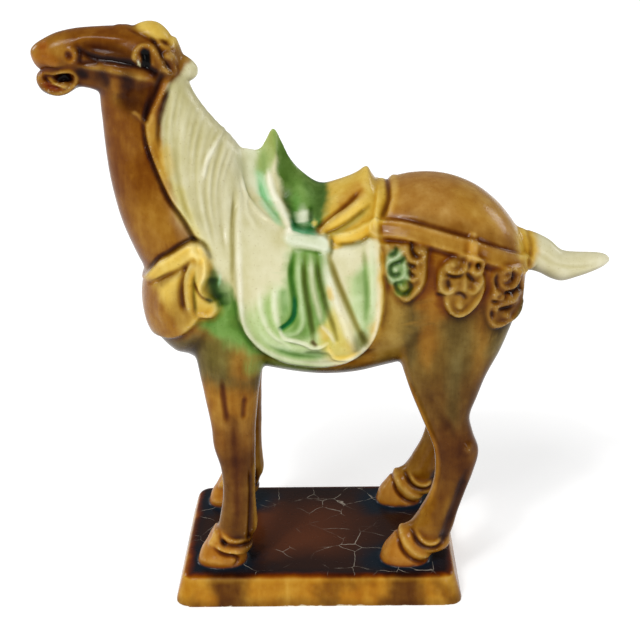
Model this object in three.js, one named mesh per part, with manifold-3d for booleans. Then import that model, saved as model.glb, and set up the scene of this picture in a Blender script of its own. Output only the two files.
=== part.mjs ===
// Sancai horse figure: a glazed ceramic horse on a low rectangular base, fired as one piece.
// Millimetres, +Z up. The origin is the centre of the base's underside. The horse faces -X.
// Both flanks carry the same relief, so each carved part is made once and mirrored through Y = 0.

import * as THREE from "three";
import { mergeVertices } from "three/addons/utils/BufferGeometryUtils.js";
import Module from "manifold-3d";

// Base: a slab with rounded corners that narrows upwards.
const base = {
  length: 130,
  width: 93,
  height: 13.5,
  taper: 3.8,
  cornerRadius: 6,
  edgeRadius: 1.6,
  cornerSteps: 3,
};

// Trunk, as upright slices from chest to buttock: place along X, back line, belly line, half width.
const trunkRows = [
  [-73, 141, 131, 8],
  [-70.8, 148, 122.5, 16.5],
  [-66, 158, 116, 24],
  [-58.5, 168, 109.5, 29.5],
  [-47, 177, 104, 32.5],
  [-28, 180, 102.5, 33],
  [-10, 178, 99, 33],
  [4, 177, 97.6, 33],
  [18, 179, 98.5, 33],
  [31, 184, 101.5, 33],
  [44, 186.8, 104.5, 33.8],
  [57, 186.2, 107, 34.2],
  [69, 182, 111, 33.2],
  [78, 175.8, 116, 30.4],
  [85, 168.4, 120.5, 25],
  [90, 160.5, 128, 17.5],
  [92.6, 153, 139, 8],
];
const trunkPower = 2.3;
const trunkSides = 20;

// Neck, as level slices: height, front edge, crest, half width.
const neckRows = [
  [140, -69, -8, 31],
  [150, -75.5, -8, 31],
  [160, -80, -14, 29.5],
  [170, -83.6, -20, 26.5],
  [180, -86, -24.5, 23],
  [190, -87.6, -28, 20],
  [199, -88.4, -31.5, 17.5],
  [212, -89, -43.5, 15],
  [224, -89.2, -51.5, 13],
  [234, -86, -54, 11.5],
  [243, -80, -57.5, 9.5],
];
const neckPower = 2.1;
const neckSides = 14;
const manePoints = 26;
const locks = { ridge: 1.9, valley: 0.6 };

// Front border of the mane in the side view, from the ear down to the shoulder. The mane fills the
// neck from there to its crest.
const mane = {
  start: [-59, 243],
  temple: [-62, 222],
  cheek: [-66.5, 205],
  throat: [-68, 195],
  side: [-60, 178],
  shoulder: [-50, 161],
  hem: [-36, 152],
  rear: [-5, 150],
};
const crestTuft = { from: [-55, 234], to: [-49, 232.8], height: 7, halfWidth: 5, sides: 8 };
const throatFold = { from: [-62.5, 230], to: [-70, 207], bow: -1.5, width: 4, rise: 2 };

// Skull and upper jaw, as upright slices: place along X, top, underside, half width.
const skullRows = [
  [-116.7, 243, 240, 3],
  [-115.2, 244.6, 236.6, 6],
  [-112, 246.6, 233.5, 8.2],
  [-106, 249.3, 231.6, 9.4],
  [-98, 251, 229, 9.2],
  [-90, 251.6, 225.6, 9.4],
  [-83, 251.8, 219.5, 11.2],
  [-76, 251.8, 215, 12.6],
  [-69, 251, 216, 12.6],
  [-61, 248, 223, 11],
  [-57, 244, 230, 8],
];
const skullPower = 2.3;
const skullSides = 12;

// Lower jaw, also upright slices.
const jawRows = [
  [-115, 233, 228, 4],
  [-112.8, 234, 225, 6.4],
  [-108, 234, 223.2, 7.8],
  [-102, 234, 224.4, 8.2],
  [-97, 236, 226.8, 7.6],
  [-88, 238, 224.5, 8],
];
const jawPower = 2.2;
const jawSides = 10;
const mouth = { x: -104.2, z: 229.6, length: 11, height: 5, inner: 3.2 };
const eye = { x: -69.3, z: 237.6, length: 5, height: 9, inner: 9.2 };
const nostril = { x: -101.5, z: 240, radius: 3.4 };
const cheekBone = { from: [-95, 235.6], to: [-66, 229.5], bow: 1.5, width: 4, rise: 1.6 };
const ear = { from: [-67, 248], to: [-58, 231], bow: 1, width: 9, rise: 3.6 };

// Forelock, as upright slices: place along X, top, half width.
const forelockRows = [
  [-75, 250.6, 3],
  [-71.5, 252.6, 6],
  [-67.5, 253.7, 7.5],
  [-63, 252.4, 8],
  [-59, 248, 8],
  [-55.8, 240, 7],
];
const forelockDepth = 14;

// Legs, as level slices: height, front edge, rear edge, distance from the middle plane, half width,
// and how much a slice drops for each millimetre towards the heel.
const foreLegRows = [
  [12.8, -55.6, -33, 27.5, 9.4, 0],
  [18.5, -53.8, -32.8, 27.5, 8.8, 0.1],
  [21.2, -51, -32.5, 27.5, 7.4, 0.3],
  [23, -50, -30.8, 27.5, 8.4, 0.35],
  [26.2, -47.6, -29.6, 27.5, 7.8, 0.35],
  [28, -46.2, -30, 27.5, 6, 0.3],
  [31, -45.4, -28, 27.5, 7.2, 0.1],
  [37, -44.2, -28, 27.3, 6.8, 0],
  [47, -42.6, -28.2, 27, 5.9, 0],
  [60, -43, -27.9, 26.5, 6, 0],
  [71, -45.8, -27.2, 26, 6.9, 0],
  [81, -46.6, -26.8, 25, 7.6, 0],
  [103, -50.8, -23.8, 21, 10.8, 0],
  [116, -53, -20.5, 18.8, 13, 0],
  [136, -56, -16, 16, 15.5, 0],
];
const hindLegRows = [
  [12.8, 28, 50.5, 27.5, 9.4, 0],
  [18.5, 29.6, 51, 27.5, 8.8, 0.1],
  [21.2, 33, 54, 27.5, 7.4, 0.3],
  [23, 35, 57.5, 27.5, 8.4, 0.35],
  [26.2, 38.6, 60.5, 27.5, 7.8, 0.35],
  [28.2, 40.6, 60, 27.5, 6, 0.3],
  [31.5, 42.4, 61.4, 27.5, 7.4, 0.1],
  [38, 46, 63.2, 27.3, 6.7, 0],
  [48, 51.4, 66.4, 27, 6.2, 0],
  [58, 53.4, 69.8, 26.6, 6.6, 0],
  [68, 52.6, 72, 26, 7.2, 0],
  [76, 50.2, 69.4, 25.2, 7.9, 0],
  [84, 47, 67.8, 24, 8.8, 0],
  [93, 43.2, 71, 22.4, 10.4, 0],
  [103, 39, 75.2, 20.4, 12.6, 0],
  [115, 36, 81.6, 18.2, 14.8, 0],
  [140, 38, 91, 16, 15.6, 0],
];
const legPower = 2.3;
const legSides = 10;

// Tail, as upright slices: place along X, top, underside, half width.
const tailRows = [
  [86, 163.6, 146, 8],
  [92, 162, 144, 8.2],
  [99, 159.4, 142, 8],
  [104, 156.4, 139.4, 7.8],
  [109, 152, 138, 7.2],
  [115, 151, 139.4, 6],
  [122, 150.8, 141.8, 4.8],
  [127.5, 150.2, 144.4, 3.4],
  [130.2, 148.6, 146.6, 1.4],
];
const tailSides = 10;

// Saddle, as upright slices: place along X, top, half width, and how full the arch is.
const saddleRows = [
  [-27, 194.5, 20, 1.2],
  [-24.5, 196, 24, 0.95],
  [-20.5, 199.8, 26, 0.85],
  [-16.9, 207.6, 27, 0.8],
  [-14, 201.5, 28, 0.85],
  [-10.5, 194, 29, 1],
  [-5.5, 188, 30, 1.25],
  [3, 182.4, 31, 1.6],
  [12, 184.8, 31.5, 1.75],
  [19, 188, 31.5, 1.7],
  [23.5, 191, 31, 1.65],
  [25.5, 187, 30.5, 1.7],
  [30, 180, 29.5, 2],
];
const saddleFoot = 150;
const saddleSides = 14;

// Relief that lies on the flank, drawn in the side view as places (X, Z).
const chestCloth = {
  rise: 2.8,
  front: -90,
  top: 146,
  bottom: 108,
  collar: [-76, 146],
  knot: [-49.5, 161],
  knotWidth: 8,
  knotRise: 5,
  pocket: [-50, 148],
  hem: [-57, 114],
  toe: [-66, 108],
};
const chestFolds = [
  { foot: [-71, 146], bow: 3, width: 6 },
  { foot: [-68, 128], bow: 5, width: 7 },
  { foot: [-41, 139], bow: -5, width: 5 },
];
const cloth = { rise: 2.2, left: -34, right: 28, bottom: 106, top: 182, leftTurn: 150, rightTurn: 140 };
const knot = { x: -5, z: 168.5, length: 18, width: 8, rise: 4.6 };
const pleats = [
  { foot: [-16, 127], width: 5.5 },
  { foot: [-8.5, 119], width: 6 },
  { foot: [-1, 116], width: 5.5 },
  { foot: [6.5, 113.5], width: 5.5 },
  { foot: [15, 114], width: 5.5 },
  { foot: [23, 124], width: 4.5 },
];
const drapes = [
  { from: [-21, 199], to: [-9, 171], bow: 3, width: 4.5 },
  { from: [22, 186], to: [3, 170], bow: 2.5, width: 4.5 },
  { from: [26, 179], to: [4, 166], bow: 3.5, width: 4.5 },
];
const strap = { rise: 1.8, width: 7.2 };
const strapRoute = [
  [22, 176.6],
  [40, 175.2],
  [58, 170.6],
  [78, 163.2],
  [98, 155.6],
];
const pendantRise = 1.7;
const pendants = [
  { x: 38.5, top: 168.5, width: 18, height: 28 },
  { x: 61.5, top: 163.5, width: 19, height: 27.5 },
  { x: 81.5, top: 156.5, width: 15, height: 26 },
];

const wasm = await Module();
wasm.setup();

// Reads rows of numbers at any place along their first column, on a smooth curve through them.
function readRows(rows, place) {
  const last = rows.length - 1;
  const found = rows.findIndex((row, index) => index > 0 && place <= row[0]);
  const low = found < 0 ? last - 1 : found - 1;
  const span = rows[low + 1][0] - rows[low][0];
  const t = THREE.MathUtils.clamp((place - rows[low][0]) / span, 0, 1);
  const slope = (index, column) => {
    const before = rows[Math.max(index - 1, 0)];
    const after = rows[Math.min(index + 1, last)];
    return ((after[column] - before[column]) / (after[0] - before[0])) * span;
  };
  return rows[low].map((start, column) => {
    const end = rows[low + 1][column];
    const leave = slope(low, column);
    const arrive = slope(low + 1, column);
    return (
      start * (2 * t ** 3 - 3 * t ** 2 + 1) +
      leave * (t ** 3 - 2 * t ** 2 + t) +
      end * (3 * t ** 2 - 2 * t ** 3) +
      arrive * (t ** 3 - t ** 2)
    );
  });
}

// A point of a rounded outline, from -1 to 1 both ways. A higher power makes it squarer.
function roundedPoint(step, sides, power) {
  const angle = (step / sides) * 2 * Math.PI;
  const soften = (value) => Math.sign(value) * Math.abs(value) ** (2 / power);
  return [soften(Math.cos(angle)), soften(Math.sin(angle))];
}

// How far out a rounded outline stands at `reach`, which is 0 at its middle and 1 at its top.
function roundedReach(reach, power) {
  return (1 - Math.min(Math.abs(reach), 0.97) ** power) ** (1 / power);
}

const ringOf = (sides, pointAt) => Array.from({ length: sides }, (_, step) => pointAt(step));
const otherSide = (ring) => ring.map(({ x, y, z }) => new THREE.Vector3(x, -y, z));

// A closed solid from points and triangles, turned so that its faces point out.
function facetedSolid(points, faces) {
  let volume = 0;
  for (const [a, b, c] of faces) {
    volume += points[a].dot(new THREE.Vector3().crossVectors(points[b], points[c]));
  }
  const turned = volume < 0 ? faces.map(([a, b, c]) => [a, c, b]) : faces;
  return new wasm.Manifold(
    new wasm.Mesh({
      numProp: 3,
      vertProperties: new Float32Array(points.flatMap((point) => point.toArray())),
      triVerts: new Uint32Array(turned.flat()),
    }),
  );
}

// A solid through a row of rings that have the same number of points, closed at both ends.
function loftSolid(rings) {
  const sides = rings[0].length;
  const points = rings.flat();
  const faces = [];
  for (let ring = 0; ring < rings.length - 1; ring += 1) {
    for (let side = 0; side < sides; side += 1) {
      const a = ring * sides + side;
      const b = ring * sides + ((side + 1) % sides);
      faces.push([a, b, b + sides], [a, b + sides, a + sides]);
    }
  }
  for (const end of [0, rings.length - 1]) {
    const middle = new THREE.Vector3();
    for (const point of rings[end]) middle.addScaledVector(point, 1 / sides);
    points.push(middle);
    for (let side = 0; side < sides; side += 1) {
      const a = end * sides + side;
      const b = end * sides + ((side + 1) % sides);
      faces.push(end ? [a, b, points.length - 1] : [b, a, points.length - 1]);
    }
  }
  return facetedSolid(points, faces);
}

const bothSides = (rings) => [loftSolid(rings), loftSolid(rings.map(otherSide))];
const joinAll = (solids) => solids.reduce((whole, next) => whole.add(next));

// A prism through the whole body from an outline drawn in the side view.
function sidePrism(outline, curveSegments) {
  const depth = 120;
  const extruded = new THREE.ExtrudeGeometry(outline, { depth, bevelEnabled: false, curveSegments });
  extruded.translate(0, 0, -depth / 2);
  extruded.rotateX(Math.PI / 2);
  extruded.deleteAttribute("normal");
  extruded.deleteAttribute("uv");
  const merged = mergeVertices(extruded, 1e-4);
  const positions = merged.getAttribute("position");
  const points = ringOf(positions.count, (i) =>
    new THREE.Vector3().fromBufferAttribute(positions, i),
  );
  const cornerAt = (i) => merged.index.getX(i);
  const faces = ringOf(merged.index.count / 3, (i) => [0, 1, 2].map((k) => cornerAt(i * 3 + k)));
  return facetedSolid(points, faces);
}

// Upright slices across X, grown by `rise` on every side.
function uprightRings(rows, sides, power, rise = 0) {
  return rows.map(([x, top, bottom, half], index) => {
    const end = index === 0 ? -rise : index === rows.length - 1 ? rise : 0;
    return ringOf(sides, (step) => {
      const [across, up] = roundedPoint(step, sides, power);
      const z = (top + bottom) / 2 + up * ((top - bottom) / 2 + rise);
      return new THREE.Vector3(x + end, across * (half + rise), z);
    });
  });
}

// Level slices across Z, with each point moved out by its own rise.
function levelRings(rows, sides, power, riseOf = () => 0) {
  return rows.map(([z, front, rear, half]) =>
    ringOf(sides, (step) => {
      const [along, across] = roundedPoint(step, sides, power);
      const rise = riseOf(step);
      const x = (front + rear) / 2 + along * ((rear - front) / 2 + rise);
      return new THREE.Vector3(x, across * (half + rise), z);
    }),
  );
}

// Half widths of the masses at a place in the side view.
function trunkSide(x, z) {
  const [, top, bottom, half] = readRows(trunkRows, x);
  return half * roundedReach((z - (top + bottom) / 2) / ((top - bottom) / 2), trunkPower);
}

function saddleSide(x, z) {
  const [, top, half, power] = readRows(saddleRows, x);
  return half * roundedReach((z - saddleFoot) / (top - saddleFoot), power);
}

function skullSide(x, z) {
  const [, top, bottom, half] = readRows(skullRows, x);
  return half * roundedReach((z - (top + bottom) / 2) / ((top - bottom) / 2), skullPower);
}

function neckSide(x, z) {
  const [, front, rear, half] = readRows(neckRows, z);
  return half * roundedReach((x - (front + rear) / 2) / ((rear - front) / 2), neckPower);
}

const flankSide = (x, z) => {
  const onSaddle = x > saddleRows[0][0] && x < saddleRows[saddleRows.length - 1][0];
  return Math.max(trunkSide(x, z), onSaddle ? saddleSide(x, z) : 0);
};

// Sections of a ridge: across and up, with the outer points buried in the mass below.
const roundSection = [
  [-1, -0.7],
  [-0.55, 0.85],
  [0.55, 0.85],
  [1, -0.7],
];
const sharpSection = [
  [-1, -0.7],
  [0, 1],
  [1, -0.7],
];

// Rings of a ridge that follows a path in the side view, where `side` gives the half width of the
// mass below it.
function ridgeRings(side, path, stations, widthAt, riseAt, section = roundSection) {
  return ringOf(stations, (index) => {
    const t = index / (stations - 1);
    const [x, z] = path(t);
    const ahead = path(Math.min(t + 0.02, 1));
    const behind = path(Math.max(t - 0.02, 0));
    const along = new THREE.Vector2(ahead[0] - behind[0], ahead[1] - behind[1]).normalize();
    return section.map(([across, up]) => {
      const sideways = (across * widthAt(t)) / 2;
      const px = x - along.y * sideways;
      const pz = z + along.x * sideways;
      return new THREE.Vector3(px, -side(px, pz) - up * riseAt(t), pz);
    });
  });
}

// The same ridge on the near side and on the far side.
const ridgePair = (...settings) => bothSides(ridgeRings(...settings));

// A path between two places that bows to its left.
function bowedPath(from, to, bow = 0) {
  const length = Math.hypot(to[0] - from[0], to[1] - from[1]);
  const left = [(from[1] - to[1]) / length, (to[0] - from[0]) / length];
  return (t) => {
    const swell = bow * 4 * t * (1 - t);
    return [0, 1].map((axis) => THREE.MathUtils.lerp(from[axis], to[axis], t) + left[axis] * swell);
  };
}

// Part of a circle in the side view, between two angles in degrees.
function arcPath(x, z, radiusX, radiusZ, fromDegrees, toDegrees) {
  return (t) => {
    const angle = THREE.MathUtils.degToRad(THREE.MathUtils.lerp(fromDegrees, toDegrees, t));
    return [x + radiusX * Math.cos(angle), z + radiusZ * Math.sin(angle)];
  };
}

const taperAt = (wide) => (t) => wide * (0.35 + 0.65 * Math.sin(Math.PI * Math.min(t * 1.15 + 0.1, 1)));

const raisedTrunk = (rise) => loftSolid(uprightRings(trunkRows, trunkSides, trunkPower, rise));

function makeBase() {
  const { length, width, height, taper, cornerRadius, edgeRadius, cornerSteps } = base;
  const level = (z, inset) => {
    const ring = [];
    const corners = [[1, 1, 0], [-1, 1, 1], [-1, -1, 2], [1, -1, 3]];
    for (const [signX, signY, quarter] of corners) {
      for (let step = 0; step <= cornerSteps; step += 1) {
        const angle = ((quarter + step / cornerSteps) * Math.PI) / 2;
        const x = signX * (length / 2 - inset - cornerRadius) + cornerRadius * Math.cos(angle);
        const y = signY * (width / 2 - inset - cornerRadius) + cornerRadius * Math.sin(angle);
        ring.push(new THREE.Vector3(x, y, z));
      }
    }
    return ring;
  };
  return loftSolid([
    level(0, edgeRadius / 2),
    level(edgeRadius / 2, 0),
    level(height - edgeRadius, taper - edgeRadius / 4),
    level(height, taper + edgeRadius),
  ]);
}

function makeLegs(rows) {
  const rings = rows.map(([z, front, rear, fromMiddle, half, drop]) =>
    ringOf(legSides, (step) => {
      const [along, across] = roundedPoint(step, legSides, legPower);
      const reach = (along * (rear - front)) / 2;
      const x = (front + rear) / 2 + reach;
      return new THREE.Vector3(x, across * half - fromMiddle, z - reach * drop);
    }),
  );
  return bothSides(rings);
}

function makeNeckAndMane() {
  const neck = loftSolid(levelRings(neckRows, neckSides, neckPower));
  const riseOf = (step) => (step % 2 ? locks.ridge : locks.valley);
  const hair = loftSolid(levelRings(neckRows, manePoints, neckPower, riseOf));
  const outline = new THREE.Shape();
  outline.moveTo(...mane.start);
  outline.quadraticCurveTo(...mane.temple, ...mane.cheek);
  outline.quadraticCurveTo(...mane.throat, ...mane.side);
  outline.lineTo(...mane.shoulder);
  outline.lineTo(...mane.hem);
  outline.lineTo(...mane.rear);
  outline.lineTo(mane.rear[0], mane.start[1]);
  const { from, to, bow, width, rise } = throatFold;
  const fold = ridgePair(neckSide, bowedPath(from, to, bow), 5, taperAt(width), () => rise);
  return joinAll([neck, hair.intersect(sidePrism(outline, 5)), makeCrestTuft(), ...fold]);
}

// A rounded lump of hair across the crest, behind the ear.
function makeCrestTuft() {
  const { from, to, height, halfWidth, sides } = crestTuft;
  const path = bowedPath(from, to);
  const rings = [0, 0.35, 0.75, 1].map((share) => {
    const [x, z] = path(share);
    const size = share === 1 ? 0.45 : 1 - 0.25 * share;
    return ringOf(sides, (step) => {
      const [across, up] = roundedPoint(step, sides, 2);
      return new THREE.Vector3(x, across * halfWidth * size, z + (up * height * size) / 2);
    });
  });
  return loftSolid(rings);
}

function makeForelock() {
  const rings = forelockRows.map(([x, top, half]) =>
    ringOf(skullSides, (step) => {
      const [across, up] = roundedPoint(step, skullSides, 2);
      return new THREE.Vector3(x, across * half, top + ((up - 1) * forelockDepth) / 2);
    }),
  );
  return loftSolid(rings);
}

// A pocket sunk into both sides of the head, as an oval in the side view.
function sunkOval({ x, z, length, height, inner }) {
  const ovalSides = 8;
  const outside = 25;
  const rings = [inner, outside].map((y) =>
    ringOf(ovalSides, (step) => {
      const [along, up] = roundedPoint(step, ovalSides, 2);
      return new THREE.Vector3(x + (along * length) / 2, -y, z + (up * height) / 2);
    }),
  );
  return joinAll(bothSides(rings));
}

function makeHead() {
  const skull = loftSolid(uprightRings(skullRows, skullSides, skullPower));
  const jaw = loftSolid(uprightRings(jawRows, jawSides, jawPower));
  const lips = arcPath(mouth.x, mouth.z, mouth.length * 0.62, mouth.height * 0.95, 200, 400);
  const rim = arcPath(nostril.x, nostril.z, nostril.radius, nostril.radius, -100, 110);
  const lids = arcPath(eye.x, eye.z, eye.length * 0.75, eye.height * 0.62, -60, 240);
  const cheek = bowedPath(cheekBone.from, cheekBone.to, cheekBone.bow);
  const flap = bowedPath(ear.from, ear.to, ear.bow);
  const ridges = [
    ridgePair(skullSide, lips, 6, () => 2.8, () => 1.4, sharpSection),
    ridgePair(skullSide, rim, 5, () => 2.8, () => 1.5, sharpSection),
    ridgePair(skullSide, lids, 6, () => 2.6, () => 1.5, sharpSection),
    ridgePair(skullSide, cheek, 4, taperAt(cheekBone.width), () => cheekBone.rise, sharpSection),
    ridgePair(skullSide, flap, 4, taperAt(ear.width), () => ear.rise),
  ].flat();
  const head = joinAll([skull, jaw, makeForelock(), ...ridges]);
  return head.subtract(sunkOval(mouth)).subtract(sunkOval(eye));
}

function makeSaddle() {
  const rings = saddleRows.map(([x, top, half, power]) =>
    ringOf(saddleSides, (step) => {
      const above = step < saddleSides / 2;
      const [across, up] = roundedPoint(step, saddleSides, above ? power : 2);
      return new THREE.Vector3(x, across * half, saddleFoot + up * (above ? top - saddleFoot : 6));
    }),
  );
  const folds = drapes.flatMap(({ from, to, bow, width }) =>
    ridgePair(flankSide, bowedPath(from, to, bow), 5, () => width, () => 2.2, sharpSection),
  );
  return joinAll([loftSolid(rings), ...folds]);
}

function makeChestCloth() {
  const { rise, front, top, bottom, collar, knot: tieAt, knotWidth, knotRise } = chestCloth;
  const [knotX, knotZ] = tieAt;
  const outline = new THREE.Shape();
  outline.moveTo(front, top);
  outline.lineTo(...collar);
  outline.quadraticCurveTo(knotX - 14.5, knotZ - 1, knotX, knotZ + 3);
  outline.quadraticCurveTo(knotX + 6, knotZ - 8, ...chestCloth.pocket);
  outline.quadraticCurveTo(-48, 130, ...chestCloth.hem);
  outline.lineTo(...chestCloth.toe);
  outline.lineTo(front, bottom);
  const pad = raisedTrunk(rise).intersect(sidePrism(outline, 3));
  const folds = chestFolds.flatMap(({ foot, bow, width }) => {
    const path = bowedPath(tieAt, foot, bow);
    return ridgePair(trunkSide, path, 5, taperAt(width), () => knotRise - 0.4, sharpSection);
  });
  const tie = ridgePair(
    trunkSide,
    bowedPath([knotX - 4, knotZ + 2], [knotX + 4, knotZ - 3]),
    3,
    () => knotWidth,
    (t) => knotRise * (0.5 + 0.5 * Math.sin(t * Math.PI)),
  );
  return joinAll([pad, ...folds, ...tie]);
}

function makeSaddleCloth() {
  const { rise, left, right, bottom, top, leftTurn, rightTurn } = cloth;
  const middle = (left + right) / 2;
  const outline = new THREE.Shape();
  outline.moveTo(left, top);
  outline.lineTo(left, leftTurn);
  outline.bezierCurveTo(left + 2, bottom + 14, left + 14, bottom, middle + 4, bottom);
  outline.bezierCurveTo(right - 12, bottom, right, bottom + 14, right, rightTurn);
  outline.lineTo(right, top);
  const pad = raisedTrunk(rise).intersect(sidePrism(outline, 6));
  const folds = pleats.flatMap(({ foot, width }) => {
    const path = bowedPath([knot.x + foot[0] * 0.3, knot.z - 3], foot, -1);
    const widthAt = (t) => width * (0.45 + 0.55 * t);
    return ridgePair(trunkSide, path, 4, widthAt, (t) => rise + 2.2 + t, sharpSection);
  });
  const tie = ridgePair(
    trunkSide,
    bowedPath([knot.x - knot.length / 2, knot.z + 1.5], [knot.x + knot.length / 2, knot.z - 1.5]),
    4,
    (t) => knot.width * (0.6 + 0.4 * Math.sin(t * Math.PI)),
    () => knot.rise,
  );
  return joinAll([pad, ...folds, ...tie]);
}

function makeStrap() {
  const route = new THREE.SplineCurve(strapRoute.map(([x, z]) => new THREE.Vector2(x, z)));
  const upper = route.getPoints(6);
  const lower = upper.map(({ x, y }) => new THREE.Vector2(x, y - strap.width)).reverse();
  const band = new THREE.Shape([...upper, ...lower]);
  return raisedTrunk(strap.rise).intersect(sidePrism(band, 1));
}

// A hanging leaf ornament: a lobed plate with two curls above a rounded lobe.
function makePendant({ x, top, width, height }) {
  const leaf = new THREE.Shape();
  const at = (across, down) => [x + across * width, top - down * height];
  leaf.moveTo(...at(-0.1, 0));
  leaf.lineTo(...at(-0.42, 0.12));
  leaf.quadraticCurveTo(...at(-0.56, 0.42), ...at(-0.42, 0.66));
  leaf.quadraticCurveTo(...at(-0.38, 1), ...at(0, 1));
  leaf.quadraticCurveTo(...at(0.38, 1), ...at(0.42, 0.66));
  leaf.quadraticCurveTo(...at(0.56, 0.42), ...at(0.42, 0.12));
  leaf.lineTo(...at(0.1, 0));
  const plate = raisedTrunk(pendantRise).intersect(sidePrism(leaf, 2));
  const curl = width * 0.17;
  const rim = width * 0.19;
  const ridgeRise = pendantRise + 2;
  const strokes = [
    arcPath(x - width * 0.26, top - height * 0.27, curl, curl, -70, 230),
    arcPath(x + width * 0.26, top - height * 0.27, curl, curl, 250, -50),
    arcPath(x, top - height * 0.68, width * 0.36, height * 0.24, 160, 380),
  ];
  const ridges = strokes.flatMap((path) =>
    ridgePair(trunkSide, path, 4, () => rim, () => ridgeRise, sharpSection),
  );
  return joinAll([plate, ...ridges]);
}

function makeHorse() {
  return joinAll([
    raisedTrunk(0),
    makeNeckAndMane(),
    makeHead(),
    loftSolid(uprightRings(tailRows, tailSides, 2)),
    makeSaddle(),
    makeChestCloth(),
    makeSaddleCloth(),
    makeStrap(),
    ...makeLegs(foreLegRows),
    ...makeLegs(hindLegRows),
    ...pendants.map(makePendant),
    makeBase(),
  ]);
}

function meshFrom(solid, name, material) {
  const { vertProperties, triVerts, numProp } = solid.getMesh();
  const corners = new Float32Array(triVerts.length * 3);
  triVerts.forEach((vertex, index) => {
    corners.set(vertProperties.slice(vertex * numProp, vertex * numProp + 3), index * 3);
  });
  const geometry = new THREE.BufferGeometry();
  geometry.setAttribute("position", new THREE.BufferAttribute(corners, 3));
  geometry.computeVertexNormals();
  const mesh = new THREE.Mesh(geometry, material);
  mesh.name = name;
  return mesh;
}

const amberGlaze = new THREE.MeshStandardMaterial({ color: 0x9a5f24, roughness: 0.18, metalness: 0 });

const group = new THREE.Group();
group.add(meshFrom(makeHorse(), "horse_on_base", amberGlaze));

export default group;
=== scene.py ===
import math

import bmesh
import bpy
import numpy as np
from mathutils import Matrix, Vector, noise


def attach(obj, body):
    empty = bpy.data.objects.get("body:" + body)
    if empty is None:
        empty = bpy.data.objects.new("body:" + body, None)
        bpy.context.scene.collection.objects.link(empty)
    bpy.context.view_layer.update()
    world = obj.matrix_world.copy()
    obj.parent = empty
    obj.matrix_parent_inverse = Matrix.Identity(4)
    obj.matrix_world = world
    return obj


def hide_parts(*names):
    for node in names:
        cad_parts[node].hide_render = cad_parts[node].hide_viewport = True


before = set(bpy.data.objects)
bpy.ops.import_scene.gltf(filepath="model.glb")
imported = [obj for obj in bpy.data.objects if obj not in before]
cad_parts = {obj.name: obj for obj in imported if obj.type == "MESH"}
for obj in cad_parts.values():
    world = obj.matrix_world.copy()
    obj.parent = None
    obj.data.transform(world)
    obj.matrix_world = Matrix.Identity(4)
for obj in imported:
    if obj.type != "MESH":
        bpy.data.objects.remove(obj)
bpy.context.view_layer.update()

# Sancai horse figure. Shapes are in millimetres, and the mesh is brought to metres at the end.
# A row of numbers is one slice through a mass of clay.
mm = 0.001

trunk = {
    "rows": [  # place along X, back, belly, half width
        (-73, 141, 131, 8), (-70.8, 148, 122.5, 16.5), (-66, 158, 116, 24), (-58.5, 168, 109.5, 29.5),
        (-47, 177, 104, 32.5), (-28, 180, 102.5, 33), (-10, 178, 99, 33), (4, 177, 97.6, 33),
        (18, 179, 98.5, 33), (31, 184, 101.5, 33), (44, 186.8, 104.5, 33.8), (57, 186.2, 107, 34.2),
        (69, 182, 111, 33.2), (78, 175.8, 116, 30.4), (85, 168.4, 120.5, 25), (90, 160.5, 128, 17.5),
        (92.6, 153, 139, 8),
    ],
    "power": 2.3, "step": 1.2, "sides": 80,
}
neck = {
    "rows": [  # height, front, crest, half width
        (140, -69, -8, 31), (150, -75.5, -8, 31), (160, -80, -14, 29.5), (170, -83.6, -20, 26.5),
        (180, -86, -24.5, 23), (190, -87.6, -28, 20), (199, -88.4, -31.5, 17.5), (212, -89, -43.5, 15),
        (224, -89.2, -51.5, 13), (234, -86, -54, 11.5), (243, -80, -57.5, 9.5),
    ],
    "power": 2.1, "step": 1.2, "sides": 72,
}
skull = {
    "rows": [
        (-116.7, 243, 240, 3), (-115.2, 244.6, 236.6, 6), (-112, 246.6, 233.5, 8.2),
        (-106, 249.3, 231.6, 9.4), (-98, 251, 229, 9.2), (-90, 251.6, 225.6, 9.4),
        (-83, 251.8, 219.5, 11.2), (-76, 251.8, 215, 12.6), (-69, 251, 216, 12.6),
        (-61, 248, 223, 11), (-57, 244, 230, 8),
    ],
    "power": 2.3, "step": 0.8, "sides": 56,
}
jaw = {
    "rows": [
        (-115, 233, 228, 4), (-112.8, 234, 225, 6.4), (-108, 234, 223.2, 7.8), (-102, 234, 224.4, 8.2),
        (-97, 236, 226.8, 7.6), (-88, 238, 224.5, 8),
    ],
    "power": 2.2, "step": 0.8, "sides": 48,
}
forelock = {
    "rows": [
        (-75, 250.6, 236.6, 3), (-71.5, 252.6, 238.6, 6), (-67.5, 253.6, 239.6, 7.5),
        (-63, 252.8, 238.4, 8), (-59, 249, 234, 7.8), (-56.4, 243.8, 230, 6.8), (-55, 239.4, 226.5, 5.4),
    ],
    "power": 2, "step": 0.8, "sides": 40,
}
crestTuft = {
    "rows": [
        (-57, 238.5, 228, 4.5), (-53, 238, 229.5, 4.8), (-50, 235.6, 230, 3.4), (-48.4, 234, 231.6, 1.5),
    ],
    "power": 2, "step": 0.8, "sides": 32,
}
tail = {
    "rows": [
        (86, 163.6, 146, 8), (92, 162, 144, 8.2), (99, 159.4, 142, 8), (104, 156.4, 139.4, 7.8),
        (109, 152, 138, 7.2), (115, 151, 139.4, 6), (122, 150.8, 141.8, 4.8), (127.5, 150.2, 144.4, 3.4),
        (130.2, 148.6, 146.6, 1.4),
    ],
    "power": 2, "step": 0.8, "sides": 40,
}
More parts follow.
